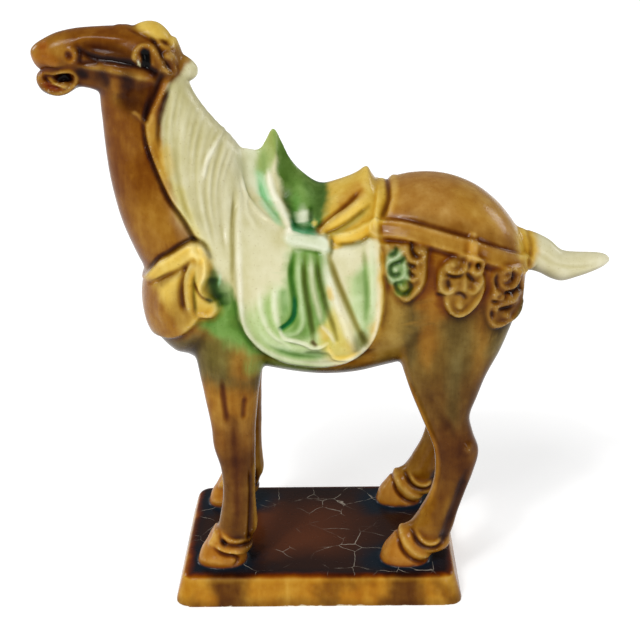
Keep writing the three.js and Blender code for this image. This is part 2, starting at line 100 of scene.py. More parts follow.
foreLeg = {
    "rows": [  # height, front, rear, distance from the middle, half width, drop towards the heel
        (12.8, -55.6, -33, 27.5, 9.4, 0), (18.5, -53.8, -32.8, 27.5, 8.8, 0.1),
        (21.2, -51, -32.5, 27.5, 7.6, 0.3), (23, -50, -30.8, 27.5, 8.2, 0.35),
        (26.2, -47.6, -29.6, 27.5, 7.6, 0.35), (28, -46.2, -30, 27.5, 6.4, 0.3),
        (31, -45.4, -28, 27.5, 7.2, 0.1), (37, -44.2, -28, 27.3, 6.8, 0), (47, -42.6, -28.2, 27, 5.9, 0),
        (60, -43, -27.9, 26.5, 6, 0), (71, -45.8, -27.2, 26, 6.9, 0), (81, -46.6, -26.8, 25, 7.6, 0),
        (103, -50.8, -23.8, 21, 10.8, 0), (116, -53, -20.5, 18.8, 13, 0), (136, -56, -16, 16, 15.5, 0),
    ],
    "power": 2.3, "step": 0.9, "sides": 48,
}
hindLeg = {
    "rows": [
        (12.8, 28, 50.5, 27.5, 9.4, 0), (18.5, 29.6, 51, 27.5, 8.8, 0.1), (21.2, 33, 54, 27.5, 7.6, 0.3),
        (23, 35, 57.5, 27.5, 8.2, 0.35), (26.2, 38.6, 60.5, 27.5, 7.6, 0.35),
        (28.2, 40.6, 60, 27.5, 6.4, 0.3), (31.5, 42.4, 61.4, 27.5, 7.4, 0.1),
        (38, 46, 63.2, 27.3, 6.7, 0), (48, 51.4, 66.4, 27, 6.2, 0),
        (58, 53.4, 69.8, 26.6, 6.6, 0), (68, 52.6, 72, 26, 7.2, 0), (76, 50.2, 69.4, 25.2, 7.9, 0),
        (84, 47, 67.8, 24, 8.8, 0), (93, 43.2, 71, 22.4, 10.4, 0), (103, 39, 75.2, 20.4, 12.6, 0),
        (115, 36, 81.6, 18.2, 14.8, 0), (140, 38, 91, 16, 15.6, 0),
    ],
    "power": 2.3, "step": 0.9, "sides": 48,
}
saddle = {
    "rows": [  # place along X, top, half width, fullness of the arch
        (-34, 197, 13, 1.2), (-30.5, 200, 17, 1.15), (-26.5, 200.2, 21, 1.15), (-23.2, 199.6, 24, 1),
        (-20.4, 203, 25.5, 0.9), (-17.6, 208, 26.5, 0.85), (-15.4, 207.6, 27, 0.85), (-13, 203, 28, 0.85),
        (-10, 196, 29, 1), (-5.3, 189.6, 30, 1.25), (3, 183, 31, 1.6),
        (12, 184.8, 31.5, 1.75), (19, 188, 31.5, 1.7), (23.5, 191, 31, 1.65), (25.5, 187, 30.5, 1.7),
        (30, 180, 29.5, 2),
    ],
    "foot": 150, "under": 6, "step": 0.7, "sides": 80,
}
plinth = {
    "length": 130, "width": 93, "height": 13.5, "taper": 3.8,
    "corner": 6, "cornerCuts": 8, "rim": 2.2, "rimCuts": 5,
}
clay = {"voxel": 0.5, "softPasses": 10, "reliefPasses": 4, "clearOfBase": (0.2, 1.4), "triangles": 190000}


def readRows(rows, places):
    # a smooth curve through each column of the rows
    table = np.array(rows, float)
    knots = table[:, 0]
    slopes = np.empty_like(table)
    slopes[1:-1] = (table[2:] - table[:-2]) / (knots[2:] - knots[:-2])[:, None]
    slopes[0] = (table[1] - table[0]) / (knots[1] - knots[0])
    slopes[-1] = (table[-1] - table[-2]) / (knots[-1] - knots[-2])
    low = np.clip(np.searchsorted(knots, places, side="right") - 1, 0, len(knots) - 2)
    span = (knots[low + 1] - knots[low])[:, None]
    t = (places - knots[low])[:, None] / span
    return (
        table[low] * (2 * t**3 - 3 * t**2 + 1) + slopes[low] * span * (t**3 - 2 * t**2 + t)
        + table[low + 1] * (3 * t**2 - 2 * t**3) + slopes[low + 1] * span * (t**3 - t**2)
    )


def slices(mass):
    # the columns of a mass, read at even steps
    rows = mass["rows"]
    count = int((rows[-1][0] - rows[0][0]) / mass["step"])
    return readRows(rows, np.linspace(rows[0][0], rows[-1][0], count + 1)).T[..., None]


def soften(value, power):
    return np.sign(value) * np.abs(value) ** (2 / power)


def roundedOutline(sides, power):
    # from -1 to 1 both ways; a higher power is squarer
    turn = np.linspace(0, 2 * math.pi, sides, endpoint=False)
    return soften(np.cos(turn), power), soften(np.sin(turn), power)


def rings(x, y, z):
    return np.stack(np.broadcast_arrays(x, y, z), -1)


def uprightRings(mass):
    x, top, bottom, half = slices(mass)
    across, up = roundedOutline(mass["sides"], mass["power"])
    return rings(x, half * across, (top + bottom) / 2 + (top - bottom) / 2 * up)


def levelRings(mass):
    z, front, rear, half = slices(mass)
    along, across = roundedOutline(mass["sides"], mass["power"])
    return rings((front + rear) / 2 + (rear - front) / 2 * along, half * across, z)


def legRings(mass, side):
    z, front, rear, fromMiddle, half, drop = slices(mass)
    along, across = roundedOutline(mass["sides"], mass["power"])
    reach = (rear - front) / 2 * along
    return rings((front + rear) / 2 + reach, side * (fromMiddle + half * across), z - reach * drop)


def saddleRings(mass):
    x, top, half, power = slices(mass)
    above = roundedOutline(mass["sides"], 2)[1] >= 0
    across, up = roundedOutline(mass["sides"], np.where(above, power, 2))
    return rings(x, half * across, mass["foot"] + up * np.where(above, top - mass["foot"], mass["under"]))


def addSkin(bm, skin):
    # a sheet of squares is wrapped round the rings, then its seam and its two ends are closed
    stations, sides, _ = skin.shape
    ends = [np.repeat(skin[i].mean(0)[None], sides, 0) for i in (0, -1)]
    table = np.concatenate([ends[0][None], skin, ends[1][None]])
    sheet = bmesh.ops.create_grid(bm, x_segments=sides, y_segments=stations + 1, size=1)["verts"]
    for vert in sheet:
        column = round((vert.co.x + 1) / 2 * sides)
        row = round((vert.co.y + 1) / 2 * (stations + 1))
        vert.co = table[row, column % sides]
    bmesh.ops.remove_doubles(bm, verts=sheet, dist=1e-4)


def bevelled(bm, edges, offset, cuts):
    return bmesh.ops.bevel(
        bm, geom=edges, offset=offset, offset_type="OFFSET", affect="EDGES",
        segments=cuts, profile=0.5, material=-1,
    )


def addPlinth(bm):
    # a block with rounded upright corners that narrows upwards, and a soft upper rim
    block = bmesh.ops.create_cube(bm, size=1)["verts"]
    bmesh.ops.scale(bm, vec=(plinth["length"], plinth["width"], plinth["height"]), verts=block)
    bmesh.ops.translate(bm, vec=(0, 0, plinth["height"] / 2), verts=block)
    for vert in block:
        if vert.co.z > plinth["height"] / 2:
            vert.co.x -= math.copysign(plinth["taper"], vert.co.x)
            vert.co.y -= math.copysign(plinth["taper"], vert.co.y)
    edges = {edge for vert in block for edge in vert.link_edges}
    upright = [edge for edge in edges if abs(edge.verts[0].co.z - edge.verts[1].co.z) > 1]
    made = bevelled(bm, upright, plinth["corner"], plinth["cornerCuts"])
    faces = {face for vert in made["verts"] for face in vert.link_faces}
    rim = {
        edge for face in faces for edge in face.edges
        if min(v.co.z for v in edge.verts) > plinth["height"] - 0.01
    }
    bevelled(bm, list(rim), plinth["rim"], plinth["rimCuts"])


def buildMasses():
    bm = bmesh.new()
    for mass in (trunk, skull, jaw, forelock, crestTuft, tail):
        addSkin(bm, uprightRings(mass))
    addSkin(bm, levelRings(neck))
    addSkin(bm, saddleRings(saddle))
    for side in (-1, 1):
        addSkin(bm, legRings(foreLeg, side))
        addSkin(bm, legRings(hindLeg, side))
    addPlinth(bm)
    bmesh.ops.recalc_face_normals(bm, faces=bm.faces)
    mesh = bpy.data.meshes.new("glazed_horse")
    bm.to_mesh(mesh)
    bm.free()
    return mesh


def applied(mesh, kind, **settings):
    # the mesh as one modifier leaves it
    piece = bpy.data.objects.new("rough", mesh)
    bpy.context.scene.collection.objects.link(piece)
    modifier = piece.modifiers.new(kind.lower(), kind)
    for name, value in settings.items():
        setattr(modifier, name, value)
    graph = bpy.context.evaluated_depsgraph_get()
    result = bpy.data.meshes.new_from_object(piece.evaluated_get(graph))
    bpy.data.objects.remove(piece)
    bpy.data.meshes.remove(mesh)
    return result


def readItems(items, name, width, kind=np.float32):
    flat = np.empty(len(items) * width, kind)
    items.foreach_get(name, flat)
    return flat.reshape(-1, width)


def readPlaces(mesh):
    return readItems(mesh.vertices, "co", 3).astype(float)


def readNormals(mesh):
    return readItems(mesh.vertex_normals, "vector", 3).astype(float)


def writePlaces(mesh, places):
    mesh.vertices.foreach_set("co", places.astype(np.float32).ravel())
    mesh.update()


def relax(places, edges, passes, share=None):
    # evens out the surface; share is how far each place follows its neighbours, from 0 to 1
    share = np.ones(len(places)) if share is None else share
    used = edges[(share[edges] > 0).any(1)]
    near = np.unique(used)
    used = np.searchsorted(near, used)
    a, b = used.T
    count = len(near)
    degree = np.bincount(used.ravel(), minlength=count)[:, None]
    local = places[near]
    step = 0.5 * share[near][:, None]
    for _ in range(passes):
        total = np.stack([
            np.bincount(a, column[b], count) + np.bincount(b, column[a], count) for column in local.T
        ], 1)
        local = local + step * (total / degree - local)
    result = places.copy()
    result[near] = local
    return result


def smoothStep(low, high, value):
    t = np.clip((value - low) / (high - low), 0, 1)
    return t * t * (3 - 2 * t)


# How a stroke runs: it fades in and out over a share of its length, and gets thinner as it fades.
strokeForm = {
    "steps": 8, "fadeIn": (0, 0.2), "fadeOut": (1, 0.8), "thinnest": 0.45, "fullness": 0.55,
    "glazed": (1, 0.1), "flatTop": (1, 0.55), "strapTop": (1, 0.8), "strapHeight": 0.75,
    "lip": 0.3, "lipPlace": 0.7, "lipWidth": 0.2,
}


def smoothRoute(points, closed=False):
    # a flowing line through a few places, given as x, z, x, z or in pairs
    spots = np.reshape(points, (-1, 2)).astype(float)
    steps = strokeForm["steps"]
    if len(spots) < 3:
        return np.linspace(spots[0], spots[-1], steps + 1)
    around = [spots[-1], *spots, *spots[:2]] if closed else [spots[0], *spots, spots[-1]]
    line = []
    for p0, p1, p2, p3 in zip(around, around[1:], around[2:], around[3:]):
        for t in np.arange(steps) / steps:
            line.append(
                0.5 * (2 * p1 + (p2 - p0) * t + (2 * p0 - 5 * p1 + 4 * p2 - p3) * t * t
                       + (3 * p1 - p0 - 3 * p2 + p3) * t**3)
            )
    line.append(around[-2])
    return np.array(line)


def ringRoute(x, z, wide, tall, start, stop):
    turns = np.radians(np.linspace(start, stop, 13))
    return [(x + wide * math.cos(turn), z + tall * math.sin(turn)) for turn in turns]


def nearestOn(line, spots):
    # distance to a line and share of the way along it, for each spot
    best = np.full(len(spots), np.inf)
    share = np.zeros(len(spots))
    lengths = np.hypot(*(line[1:] - line[:-1]).T)
    total = lengths.sum()
    done = 0
    for start, step, length in zip(line[:-1], line[1:] - line[:-1], lengths):
        offset = spots - start
        t = np.clip((offset @ step) / length**2, 0, 1)
        gap = offset - t[:, None] * step
        distance = np.hypot(gap[:, 0], gap[:, 1])
        closer = distance < best
        best[closer] = distance[closer]
        share[closer] = (done + t[closer] * length) / total
        done += length
    return best, share


def spotsRound(line, reach, spots):
    # which spots lie in the box round a line
    return np.flatnonzero(((spots > line.min(0) - reach) & (spots < line.max(0) + reach)).all(1))


def insideOf(line, spots):
    x, z = spots.T
    inside = np.zeros(len(spots), bool)
    for (x0, z0), (x1, z1) in zip(line[:-1], line[1:]):
        if z0 != z1:
            crosses = (z0 > z) != (z1 > z)
            inside ^= crosses & (x < (x1 - x0) * (z - z0) / (z1 - z0) + x0)
    return inside


def profileOf(kind, d):
    # height across a stroke, where d is 0 on its line and 1 at its edge
    if kind == "strap":
        lip = strokeForm["lip"] * np.exp(-(((d - strokeForm["lipPlace"]) / strokeForm["lipWidth"]) ** 2))
        return smoothStep(*strokeForm["strapTop"], d) * (strokeForm["strapHeight"] + lip)
    if kind == "flat":
        return smoothStep(*strokeForm["flatTop"], d)
    return np.clip(1 - d * d, 0, 1) ** 2


def strokeHeight(stroke, spots):
    # height of a stroke and how much of its glaze lies at each spot
    line = smoothRoute(stroke["route"])
    half = stroke["width"] / 2
    spread = half * stroke["spread"]
    chosen = spotsRound(line, max(half, spread), spots)
    distance, share = nearestOn(line, spots[chosen])
    head, foot = stroke["ends"]
    fadeIn = head + (1 - head) * smoothStep(*strokeForm["fadeIn"], share)
    fade = fadeIn * (foot + (1 - foot) * smoothStep(*strokeForm["fadeOut"], share))
    size = strokeForm["thinnest"] + strokeForm["fullness"] * fade
    height = np.zeros(len(spots))
    cover = np.zeros(len(spots))
    height[chosen] = stroke["rise"] * fade * profileOf(stroke["kind"], distance / (half * size))
    cover[chosen] = fade * smoothStep(*strokeForm["glazed"], distance / (spread * size))
    return height, cover


def padShare(outline, soft, spots):
    # 1 inside a closed outline and 0 outside it, with a soft edge
    line = smoothRoute(outline, closed=True)
    chosen = spotsRound(line, soft, spots)
    distance = nearestOn(line, spots[chosen])[0]
    signed = np.where(insideOf(line, spots[chosen]), distance, -distance)
    share = np.zeros(len(spots))
    share[chosen] = smoothStep(-soft / 2, soft / 2, signed)
    return share


def stroke(width, rise, glaze, cover, *route, ends=(0.3, 0.3), spread=1.6, kind="round"):
    return {
        "width": width, "rise": rise, "glaze": glaze, "cover": cover, "route": route,
        "ends": ends, "spread": spread, "kind": kind,
    }


# Strokes: width, rise, glaze, how much of it, then the route as x, z, x, z in the side view.
# A minus rise is cut in. The ends say how much of the stroke is left at its start and its end.
headStrokes = [
    stroke(6, -0.8, "cocoa", 0.55, -95.9, 244.6, -88, 244.2, -80, 243, -74, 241.4),
    stroke(3.6, 0.5, None, 0, -97, 247, -91.9, 248.2, -82.5, 248, -74.4, 247.2),
    stroke(4.2, -1.3, "umber", 1.05, -95.9, 245.2, -93.2, 242.4, -89.2, 240.4, -80.3, 239, -71.7, 237.4,
        -65.9, 235.5, ends=(0.2, 1)),
    stroke(4, -0.4, "umber", 0.8, -84, 240.6, -77, 239.8, -72, 239.2),
    stroke(2.4, -0.6, "umber", 0.6, -96.4, 238.1, -91.1, 238.1, -86.3, 237.9),
    stroke(1.4, 0.5, None, 0, -86.4, 237.4, -81.6, 237, -76.9, 236.2),
    stroke(3, 1, "ochre", 0.4, -95.4, 236.4, -85.3, 235.6, -74.7, 233.4, -64.2, 230.6),
    stroke(6, -0.5, "umber", 1.1, -95, 233.8, -94, 233, ends=(1, 1)),
    stroke(7, -0.5, "umber", 1.05, -86.6, 232.2, -85, 230.4, ends=(1, 1)),
    stroke(8, -0.5, "umber", 1, -75.4, 231.4, -75, 227, ends=(1, 0.7)),
    stroke(8, -0.3, "umber", 0.85, -78, 223.4, -75, 222, ends=(1, 1)),
    stroke(6, -0.2, "cocoa", 0.6, -69.6, 228, -71, 222, ends=(1, 1)),
    stroke(5, 0.2, "amber", 0.3, -80.4, 232.8, -80.8, 229, -80.6, 225),
    stroke(1.7, 0.6, "honey", 0.4, -74.6, 218.3, -72, 217.4, -70, 215.2, -68.7, 213, ends=(0.1, 0.6)),
    # hair and ear behind the eye
    stroke(2.2, -1, "umber", 0.85, -65.1, 247.3, -63.1, 245.1, -61.5, 242.3, -60.4, 239.5, -59.2, 236.5,
        -57.6, 233.4, ends=(0.6, 0.4)),
    stroke(2.4, 0.5, "body", 0.4, -64.9, 243.8, -62.8, 240.5, -61.5, 236.8),
    stroke(1.9, 0.4, "ochre", 0.7, -63.2, 247.2, -61.2, 245.2, -59.2, 243.6, -57.8, 243),
    stroke(1.6, -0.5, "sepia", 0.7, -61.4, 246.8, -60, 245.9, -58.6, 244.9, ends=(0.3, 0)),
    stroke(1.6, -0.6, "sepia", 0.8, -60.8, 242, -59.2, 242.1, -57.2, 241.4, ends=(0.3, 0)),
    stroke(1.6, 0.6, "ochre", 0.5, -60.2, 241.2, -58.8, 240.4, -57, 239),
    stroke(1.6, -0.7, "umber", 0.6, -60, 239.6, -59, 237.4, -57.8, 235.4),
    stroke(1.5, -0.6, "sepia", 0.7, -58.4, 238.8, -57, 237.2, -56, 234.8),
    stroke(2.4, 0.5, "honey", 0.5, -60.2, 235.6, -58.6, 233.4),
    stroke(4.6, -1, "umber", 1, -64.4, 234.4, -61.8, 232.8, ends=(0.8, 1)),
    stroke(4.6, -1.2, "umber", 0.95, -62.8, 230.8, -64.7, 225.6, -66.9, 220.1, -68.2, 215.6, ends=(1, 0.8),
        spread=1.4),
    stroke(3, 1.1, "amber", 0.5, -58.6, 231.9, -61.4, 225.9, -64.6, 219.1, -66.9, 211.8),
    stroke(2.6, -0.6, "umber", 0.65, -58.6, 228.5, -61, 221, -63.3, 211.9, -63.4, 204),
    stroke(3, 0.6, None, 0, -80.5, 252, -77.8, 252.4, -75.4, 252, ends=(0.6, 0.6)),
    stroke(2, -0.5, None, 0, -74.4, 251, -67.1, 248, -63.8, 246.2, -60, 247.6),
    # nose and mouth
    stroke(2.6, 1, "amber", 0.4, *ringRoute(-99.2, 240.9, 2.4, 2.7, 110, -120)),
    stroke(2.8, -0.9, "sepia", 0.7, -99.8, 241.8, -99.4, 240.9, ends=(0.9, 0.9)),
    stroke(4, -0.5, "rust", 0.5, -111, 244.6, -109.6, 244.8, ends=(1, 1)),
    stroke(2.4, -0.9, "umber", 0.7, -95.6, 238.2, -94.6, 241, -95.2, 244),
    stroke(6, 0.8, None, 0, -113.4, 239.6, -108, 238.6, -103, 236.6, ends=(0.4, 0.4)),
    stroke(5, -2.8, "umber", 1, -105.6, 231.2, -102.6, 231.8, -100.4, 230.8, ends=(0.7, 0.9)),
    stroke(3.4, -1.6, "leather", 0.9, -110.4, 231.6, -108.6, 230.4, -106.4, 231.2, ends=(0.8, 0.8)),
    stroke(3, -1.6, "rust", 0.7, -110.4, 228.8, -107.2, 227.6, -104, 227.6, ends=(0.8, 0.8)),
    stroke(1.6, 1.1, "ochre", 1, -109.2, 231.4, -106.4, 229.7, -104.3, 228.1, -101.8, 227.9,
        ends=(0.7, 0.7)),
    stroke(2.2, 1.1, "ochre", 0.6, -113.4, 231.4, -111.2, 233.4, -107, 233.3, -102.4, 234.3, -99.2, 234.4,
        -97.2, 232.4, -97.5, 229.8, -99.9, 227.4, -103.1, 225.5, -107.8, 225, -111.6, 227, ends=(0.5, 0.3),
        spread=1.1),
    stroke(2.2, -0.5, "sepia", 0.6, -113, 234.8, -108.6, 235.8, -104.7, 235.7, -100.6, 236.4),
    # eye
    stroke(5.4, -1.7, "black", 2.6, -67.5, 241.6, -67.2, 239.8, -67.2, 237.8, ends=(1, 1), spread=1),
    stroke(2.2, 1, "ochre", 0.7, -71, 237.6, -71.9, 240.2, -71.1, 243, -68.6, 244.9, -65.2, 244.2,
        -63.4, 241),
    # painted highlight: a small pale cream glint at the left edge of the eye
    stroke(1.4, 0.3, "cream", 1.2, -70.5, 238.9, -69.9, 236.9, ends=(0.8, 0.8), spread=1),
]

# Mane: locks run between two guide lines, from the crest down to the shoulder.
mane = {
    "front": [(-59.5, 230), (-61.5, 212), (-60.5, 197), (-57.5, 184.5), (-51.5, 172.5)],
    "rear": [(-31, 199.5), (-34.6, 191), (-36.6, 183), (-36.6, 173), (-34.4, 159)],
    "locks": 11, "width": 2.8, "depth": 0.36, "glaze": "sand", "cover": 0.3,
    "bend": 0.5, "bendTurn": 2.4, "depthChange": 0.35, "depthTurn": 1.7,
    "ridgeAhead": 1.3, "ridgeWidth": 0.9, "ridgeRise": 0.5,
}
neckStrokes = [
    stroke(3.2, -1, "umber", 0.7, -69.7, 216, -68.7, 205.4, -66.2, 197.4, -63.8, 191.2, -60.4, 183.8,
        -56.5, 178.2, -53.1, 173.4, -49.6, 167, ends=(0.5, 0.9), spread=1.3),
    stroke(2.4, 0.9, None, 0, -67.8, 213, -66.9, 204.6, -64.4, 197, -61.6, 190.6, -58.2, 183.6,
        -54.2, 177.6, -50.2, 172),
    stroke(2.6, 1.1, "bone", 0.7, -39, 206.6, -43.8, 197.8, -45.8, 189.6),
    stroke(2, 0.8, "bone", 0.6, -30.9, 191, -28.6, 181, -22, 174.4, -14, 170.4),
    stroke(2, 0.5, "bone", 0.4, -29.6, 184, -28, 176.6, -23.4, 170),
    stroke(1.8, -0.9, "sand", 0.6, -33.6, 184, -33.8, 174, -33.6, 162, -33.8, 150),
]

# Cloth knotted on the chest.
chestStrokes = [
    stroke(2.4, -0.9, "umber", 0.6, -72.4, 149.4, -65.2, 158.4, -60, 161.9, -54.6, 165.5, -50, 167.4,
        -45.4, 165.4, -42.6, 160.4, ends=(0.4, 0.5)),
    stroke(1.8, 0.9, "straw", 0.6, -72.4, 146.6, -65.2, 156, -60, 159.4, -54.6, 162.9, -50, 164.6,
        -46, 163),
    stroke(3.4, -1.1, "sepia", 0.7, -49.4, 159, -54.1, 155.8, -61, 151.6, -67.5, 145.8, ends=(1, 0.4)),
    stroke(9, 1, None, 0, -51.5, 156.5, -58, 149, -61.8, 138, -61, 130),
    stroke(3.4, -1.2, "sepia", 0.75, -52.4, 155.4, -54.4, 149, -54.7, 143.4, -54.3, 137, ends=(1, 0.3)),
    stroke(2.6, 1.5, "straw", 0.6, -50.2, 158.6, -51.9, 152.4, -52.3, 147, -51.9, 141, -51.2, 136.4,
        ends=(0.6, 0.2)),
    stroke(2, -1, "moss", 0.55, -48.9, 155, -49.8, 148.4, -49.7, 142, -49.3, 135.6),
    stroke(2.8, 1.5, "straw", 0.7, -47, 164, -44.9, 158.6, -44.7, 153, -46.6, 148.4, -46.2, 145.2,
        ends=(0.8, 0.4)),
    stroke(1.5, -1.1, "sepia", 0.9, -49.7, 151.4, -48.3, 147, -46.2, 144, -43.6, 142.3, -41.2, 142),
    stroke(3.4, 1.2, "honey", 0.6, -48.8, 138.4, -46.9, 136.4, -43.8, 136, -41.6, 138.4),
    # the knot: pale straw on a raised dot, partly its glaze and partly a painted highlight
    stroke(5.4, 1.6, "straw", 0.8, -49.6, 162.4, -47.6, 160.4, ends=(1, 1)),
    stroke(8, -1, "moss", 1, -41.4, 153, -41.6, 147, -39.6, 141, ends=(0.5, 0.5)),
    stroke(1.4, 0.7, "mint", 0.4, -38.6, 153.6, -39.8, 148),
    stroke(6, -0.4, "moss", 0.7, -38, 146, -37, 139),
    stroke(2, -0.5, "deepGreen", 0.5, -45, 143.6, -42.6, 141.4),
]

# Saddle: front arch with its rim, seat, and the rolls of cloth that leave the rear arch.
saddleStrokes = [
    stroke(4.6, 0.9, "bone", 1.1, -19, 191, -17.9, 185.2, -16.4, 180.8, -13.6, 176.9, -11, 172.8,
        -9.6, 169.8, ends=(0.2, 0.9), spread=1.15),
    stroke(2.4, -0.7, "mint", 0.75, -22.9, 187, -20.8, 180, -16.4, 175, -12, 171.2),
    stroke(3, 0, "moss", 0.5, -13.6, 186, -12.4, 181, -10.2, 177, -7.8, 172, ends=(0.2, 1)),
    stroke(2.4, -0.6, "teal", 1, -9.1, 173.6, -7.6, 170.6, -4.4, 169.7, -0.9, 169.3, 2.6, 168.2,
        spread=1.2),
    stroke(4, 0, "fern", 0.7, -7, 182, -6.8, 175),
    stroke(6, 0.4, "mintPale", 1.15, -4.3, 176.6, -3.8, 172),
    stroke(2, -0.6, "moss", 0.6, -0.7, 177, -1, 171.6),
    stroke(2.4, 0.5, "straw", 0.7, 0.7, 173, 1, 171),
    stroke(6, -0.3, "amber", 0.8, 10.1, 176.5, 16.9, 181.5, 22.4, 185.8),
    stroke(2.6, -1, "sienna", 0.7, 2.6, 169.7, 8.7, 174, 15.5, 179.1, 21, 184, ends=(1, 0.2)),
    stroke(3, 1.1, "straw", 0.8, 3.6, 168.9, 9.4, 172.7, 16.1, 176.8, 22.2, 181.5),
    stroke(2.4, -1, "olive", 0.6, 6, 168, 10.6, 169.8, 17.4, 173.8, 23.5, 178.3, ends=(1, 0.5)),
    stroke(3.2, 1.2, "straw", 0.8, 7.3, 166.9, 13.9, 167.5, 19.9, 169.5, 24.6, 172.5),
    stroke(2.2, -0.8, "olive", 0.6, 9.3, 164.4, 14, 164.4, 19.9, 165.4, 25, 168.6),
]

# Saddle cloth: pleats hang from the knotted band and end in a ruffled hem.
flapStrokes = [
    stroke(2, 0.8, "bone", 0.5, -30.2, 178, -30.3, 152, -29.6, 132, -25.4, 123.4, -18, 116.4, -9.9, 112.8,
        2, 111.2, 12, 112.6, 20, 118, 25.4, 126, 27.2, 138, 27.2, 150),
    stroke(4.4, -0.4, "celadon", 0.6, -27, 142, -26.4, 132, -21, 122, -12, 116.4, 0, 114.6),
    stroke(2.8, 0.6, "bone", 0.4, -22.6, 147, -22.2, 137.7, -18.2, 127.9, -10.9, 121.6),
    stroke(3.4, -0.5, "celadon", 0.7, -19.4, 145, -19, 136, -16, 128, -9, 122),
    stroke(2.8, 0.6, "bone", 0.5, -16.3, 148, -16.3, 137.6, -14.7, 130.9),
    stroke(4, -0.3, "fern", 0.6, -12.9, 148, -12.3, 136),
    stroke(3, -1.1, "fern", 0.8, -7.9, 162.3, -9.3, 154, -8.7, 148, -7.9, 141.1, -8.5, 135.7, -10.6, 132,
        -14.1, 129.3, ends=(0.3, 1), spread=1.4),
    stroke(2.4, -0.5, "teal", 1.4, -8.1, 145, -8.2, 136.4, -10.4, 132.2, -14, 129.6, ends=(0, 1),
        spread=1.2),
    stroke(2.8, 0.9, "celadon", 0.5, -5.9, 160.7, -5.8, 151.3, -5, 141, -4.7, 133, -7, 128, -12, 126.6),
    stroke(2.6, -0.9, "olive", 0.6, -3.4, 160.6, -3.8, 152.6, -3, 144.4, -1.9, 137.5, -0.8, 129.3,
        -0.3, 123.6, ends=(0.3, 0.6)),
    stroke(3, 1, "cream", 0.5, -0.7, 160.6, -0.5, 151.2, 0.5, 144.5, 2.4, 136.7, 3.6, 131),
    stroke(2.6, -0.9, "olive", 0.6, 1.6, 160.5, 2, 154.4, 3.8, 145.7, 5.9, 137.4, 8.3, 129.9, 9.6, 124,
        ends=(0.3, 0.6)),
    stroke(5, 1.1, "bone", 0.6, 4.2, 160.5, 6.4, 151, 9.5, 141.2, 13.4, 129.9, 16.4, 119.8),
    stroke(3, -0.8, "khaki", 0.9, 6.6, 160.5, 9.8, 151.1, 13.8, 141.1, 18.3, 129.8, 21.1, 123.6,
        ends=(0.6, 0.7)),
    stroke(5, 0.3, "leaf", 0.35, 19.1, 156, 19.3, 143),
    stroke(2.8, -0.6, "fern", 0.35, 21.3, 164.3, 21.8, 154.4, 22.5, 144.2, 21.6, 133.4, ends=(0.2, 0.6)),
    stroke(2.6, 0.5, "celadon", 0.4, 24.4, 165, 24.8, 150, 24.4, 136),
    stroke(5, -0.4, "olive", 0.8, 20.4, 126.4, 21.2, 122.4, ends=(0.8, 1)),
    # spots of yellow glaze
    stroke(4.6, 0.3, "gold", 0.8, 3.6, 129, 4.6, 126, ends=(1, 1)),
    stroke(3, 0, "gold", 0.9, 6.6, 147, 7.4, 143.6, ends=(1, 1)),
    stroke(4, 0, "gold", 0.4, 14.4, 123, 15.4, 118, ends=(0.6, 1)),
    # hem
    stroke(2, 0.9, "bone", 0.7, -14.7, 129.3, -12.8, 124.9, -8.1, 123.7, -4.1, 122.3, -1.4, 120.6,
        2.6, 120.6, 5.4, 122.3, ends=(0.7, 0.6)),
    stroke(2, 0.9, "straw", 0.6, 5.4, 122.3, 7, 117.6, 8.7, 114.9, 13.5, 114.5, 19.6, 117.6),
    stroke(1.8, 0.7, "bone", 0.5, 2.8, 131.3, 6.1, 127.7, 8.8, 122.4),
    stroke(2.2, -0.8, "sepia", 0.8, -0.8, 122.8, 0.3, 121.6, ends=(1, 1)),
    stroke(4.4, -0.5, "fern", 0.75, -18, 120, -9, 116.4, 0, 115.6, 6.3, 115.6),
    stroke(2.4, -0.4, "moss", 0.5, -5, 117.6, 1, 117.6, 6.3, 116.6),
    # knotted band
    stroke(6.6, 1.3, "mintPale", 0.8, -14, 168, -9, 166.6, -4.7, 165.6, 0.7, 164.6, 5.2, 163.4, ends=(0, 1),
        spread=1, kind="flat"),
    stroke(1.8, -0.8, "olive", 0.7, 7.9, 167, 8.1, 164, 7.6, 160.4, ends=(0.6, 0.6)),
    stroke(1.8, -0.6, "leaf", 0.6, -8.4, 162.9, -1, 161.6, 5.4, 160.3),
]

# Strap round the rump with its keeper, and the join behind the saddle.
strapLine = [26.6, 170, 33, 170.2, 40, 169.6, 49, 167.6, 57, 165.4, 64.4, 163.2, 72, 160.2, 80, 156.6,
    87, 152.6, 93.4, 148.6]
strapStrokes = [
    stroke(7.6, 1.4, "ochre", 0.9, *strapLine, ends=(0.9, 0.9), spread=1.05, kind="strap"),
    stroke(4, 0, "sienna", 0.4, *strapLine),
    stroke(5, 0.9, "honey", 0.8, 66.4, 167.4, 66.2, 160, 65.2, 155.4, ends=(0.8, 0.6), kind="flat"),
    stroke(2.6, -0.4, "sepia", 0.5, 30, 174.8, 37, 174.5, 45, 173.2, 55.4, 170.4, 65.2, 167.5, 75.4, 163.2,
        86, 157.6),
    stroke(2.2, -0.5, "sepia", 0.5, 30, 165.8, 40, 165, 54, 161.3, 63, 158.4, 72.6, 154.4, 82, 150),
    stroke(4, 0.6, "honey", 0.7, 35.6, 186, 34.2, 180.8, 31.6, 176),
    stroke(2.6, -0.8, "sepia", 0.6, 32.2, 186, 32, 181, 30.4, 177, 28, 173.8),
    stroke(2.6, 0.8, "straw", 0.5, 28.2, 183, 27.4, 178, 26.4, 171),
]

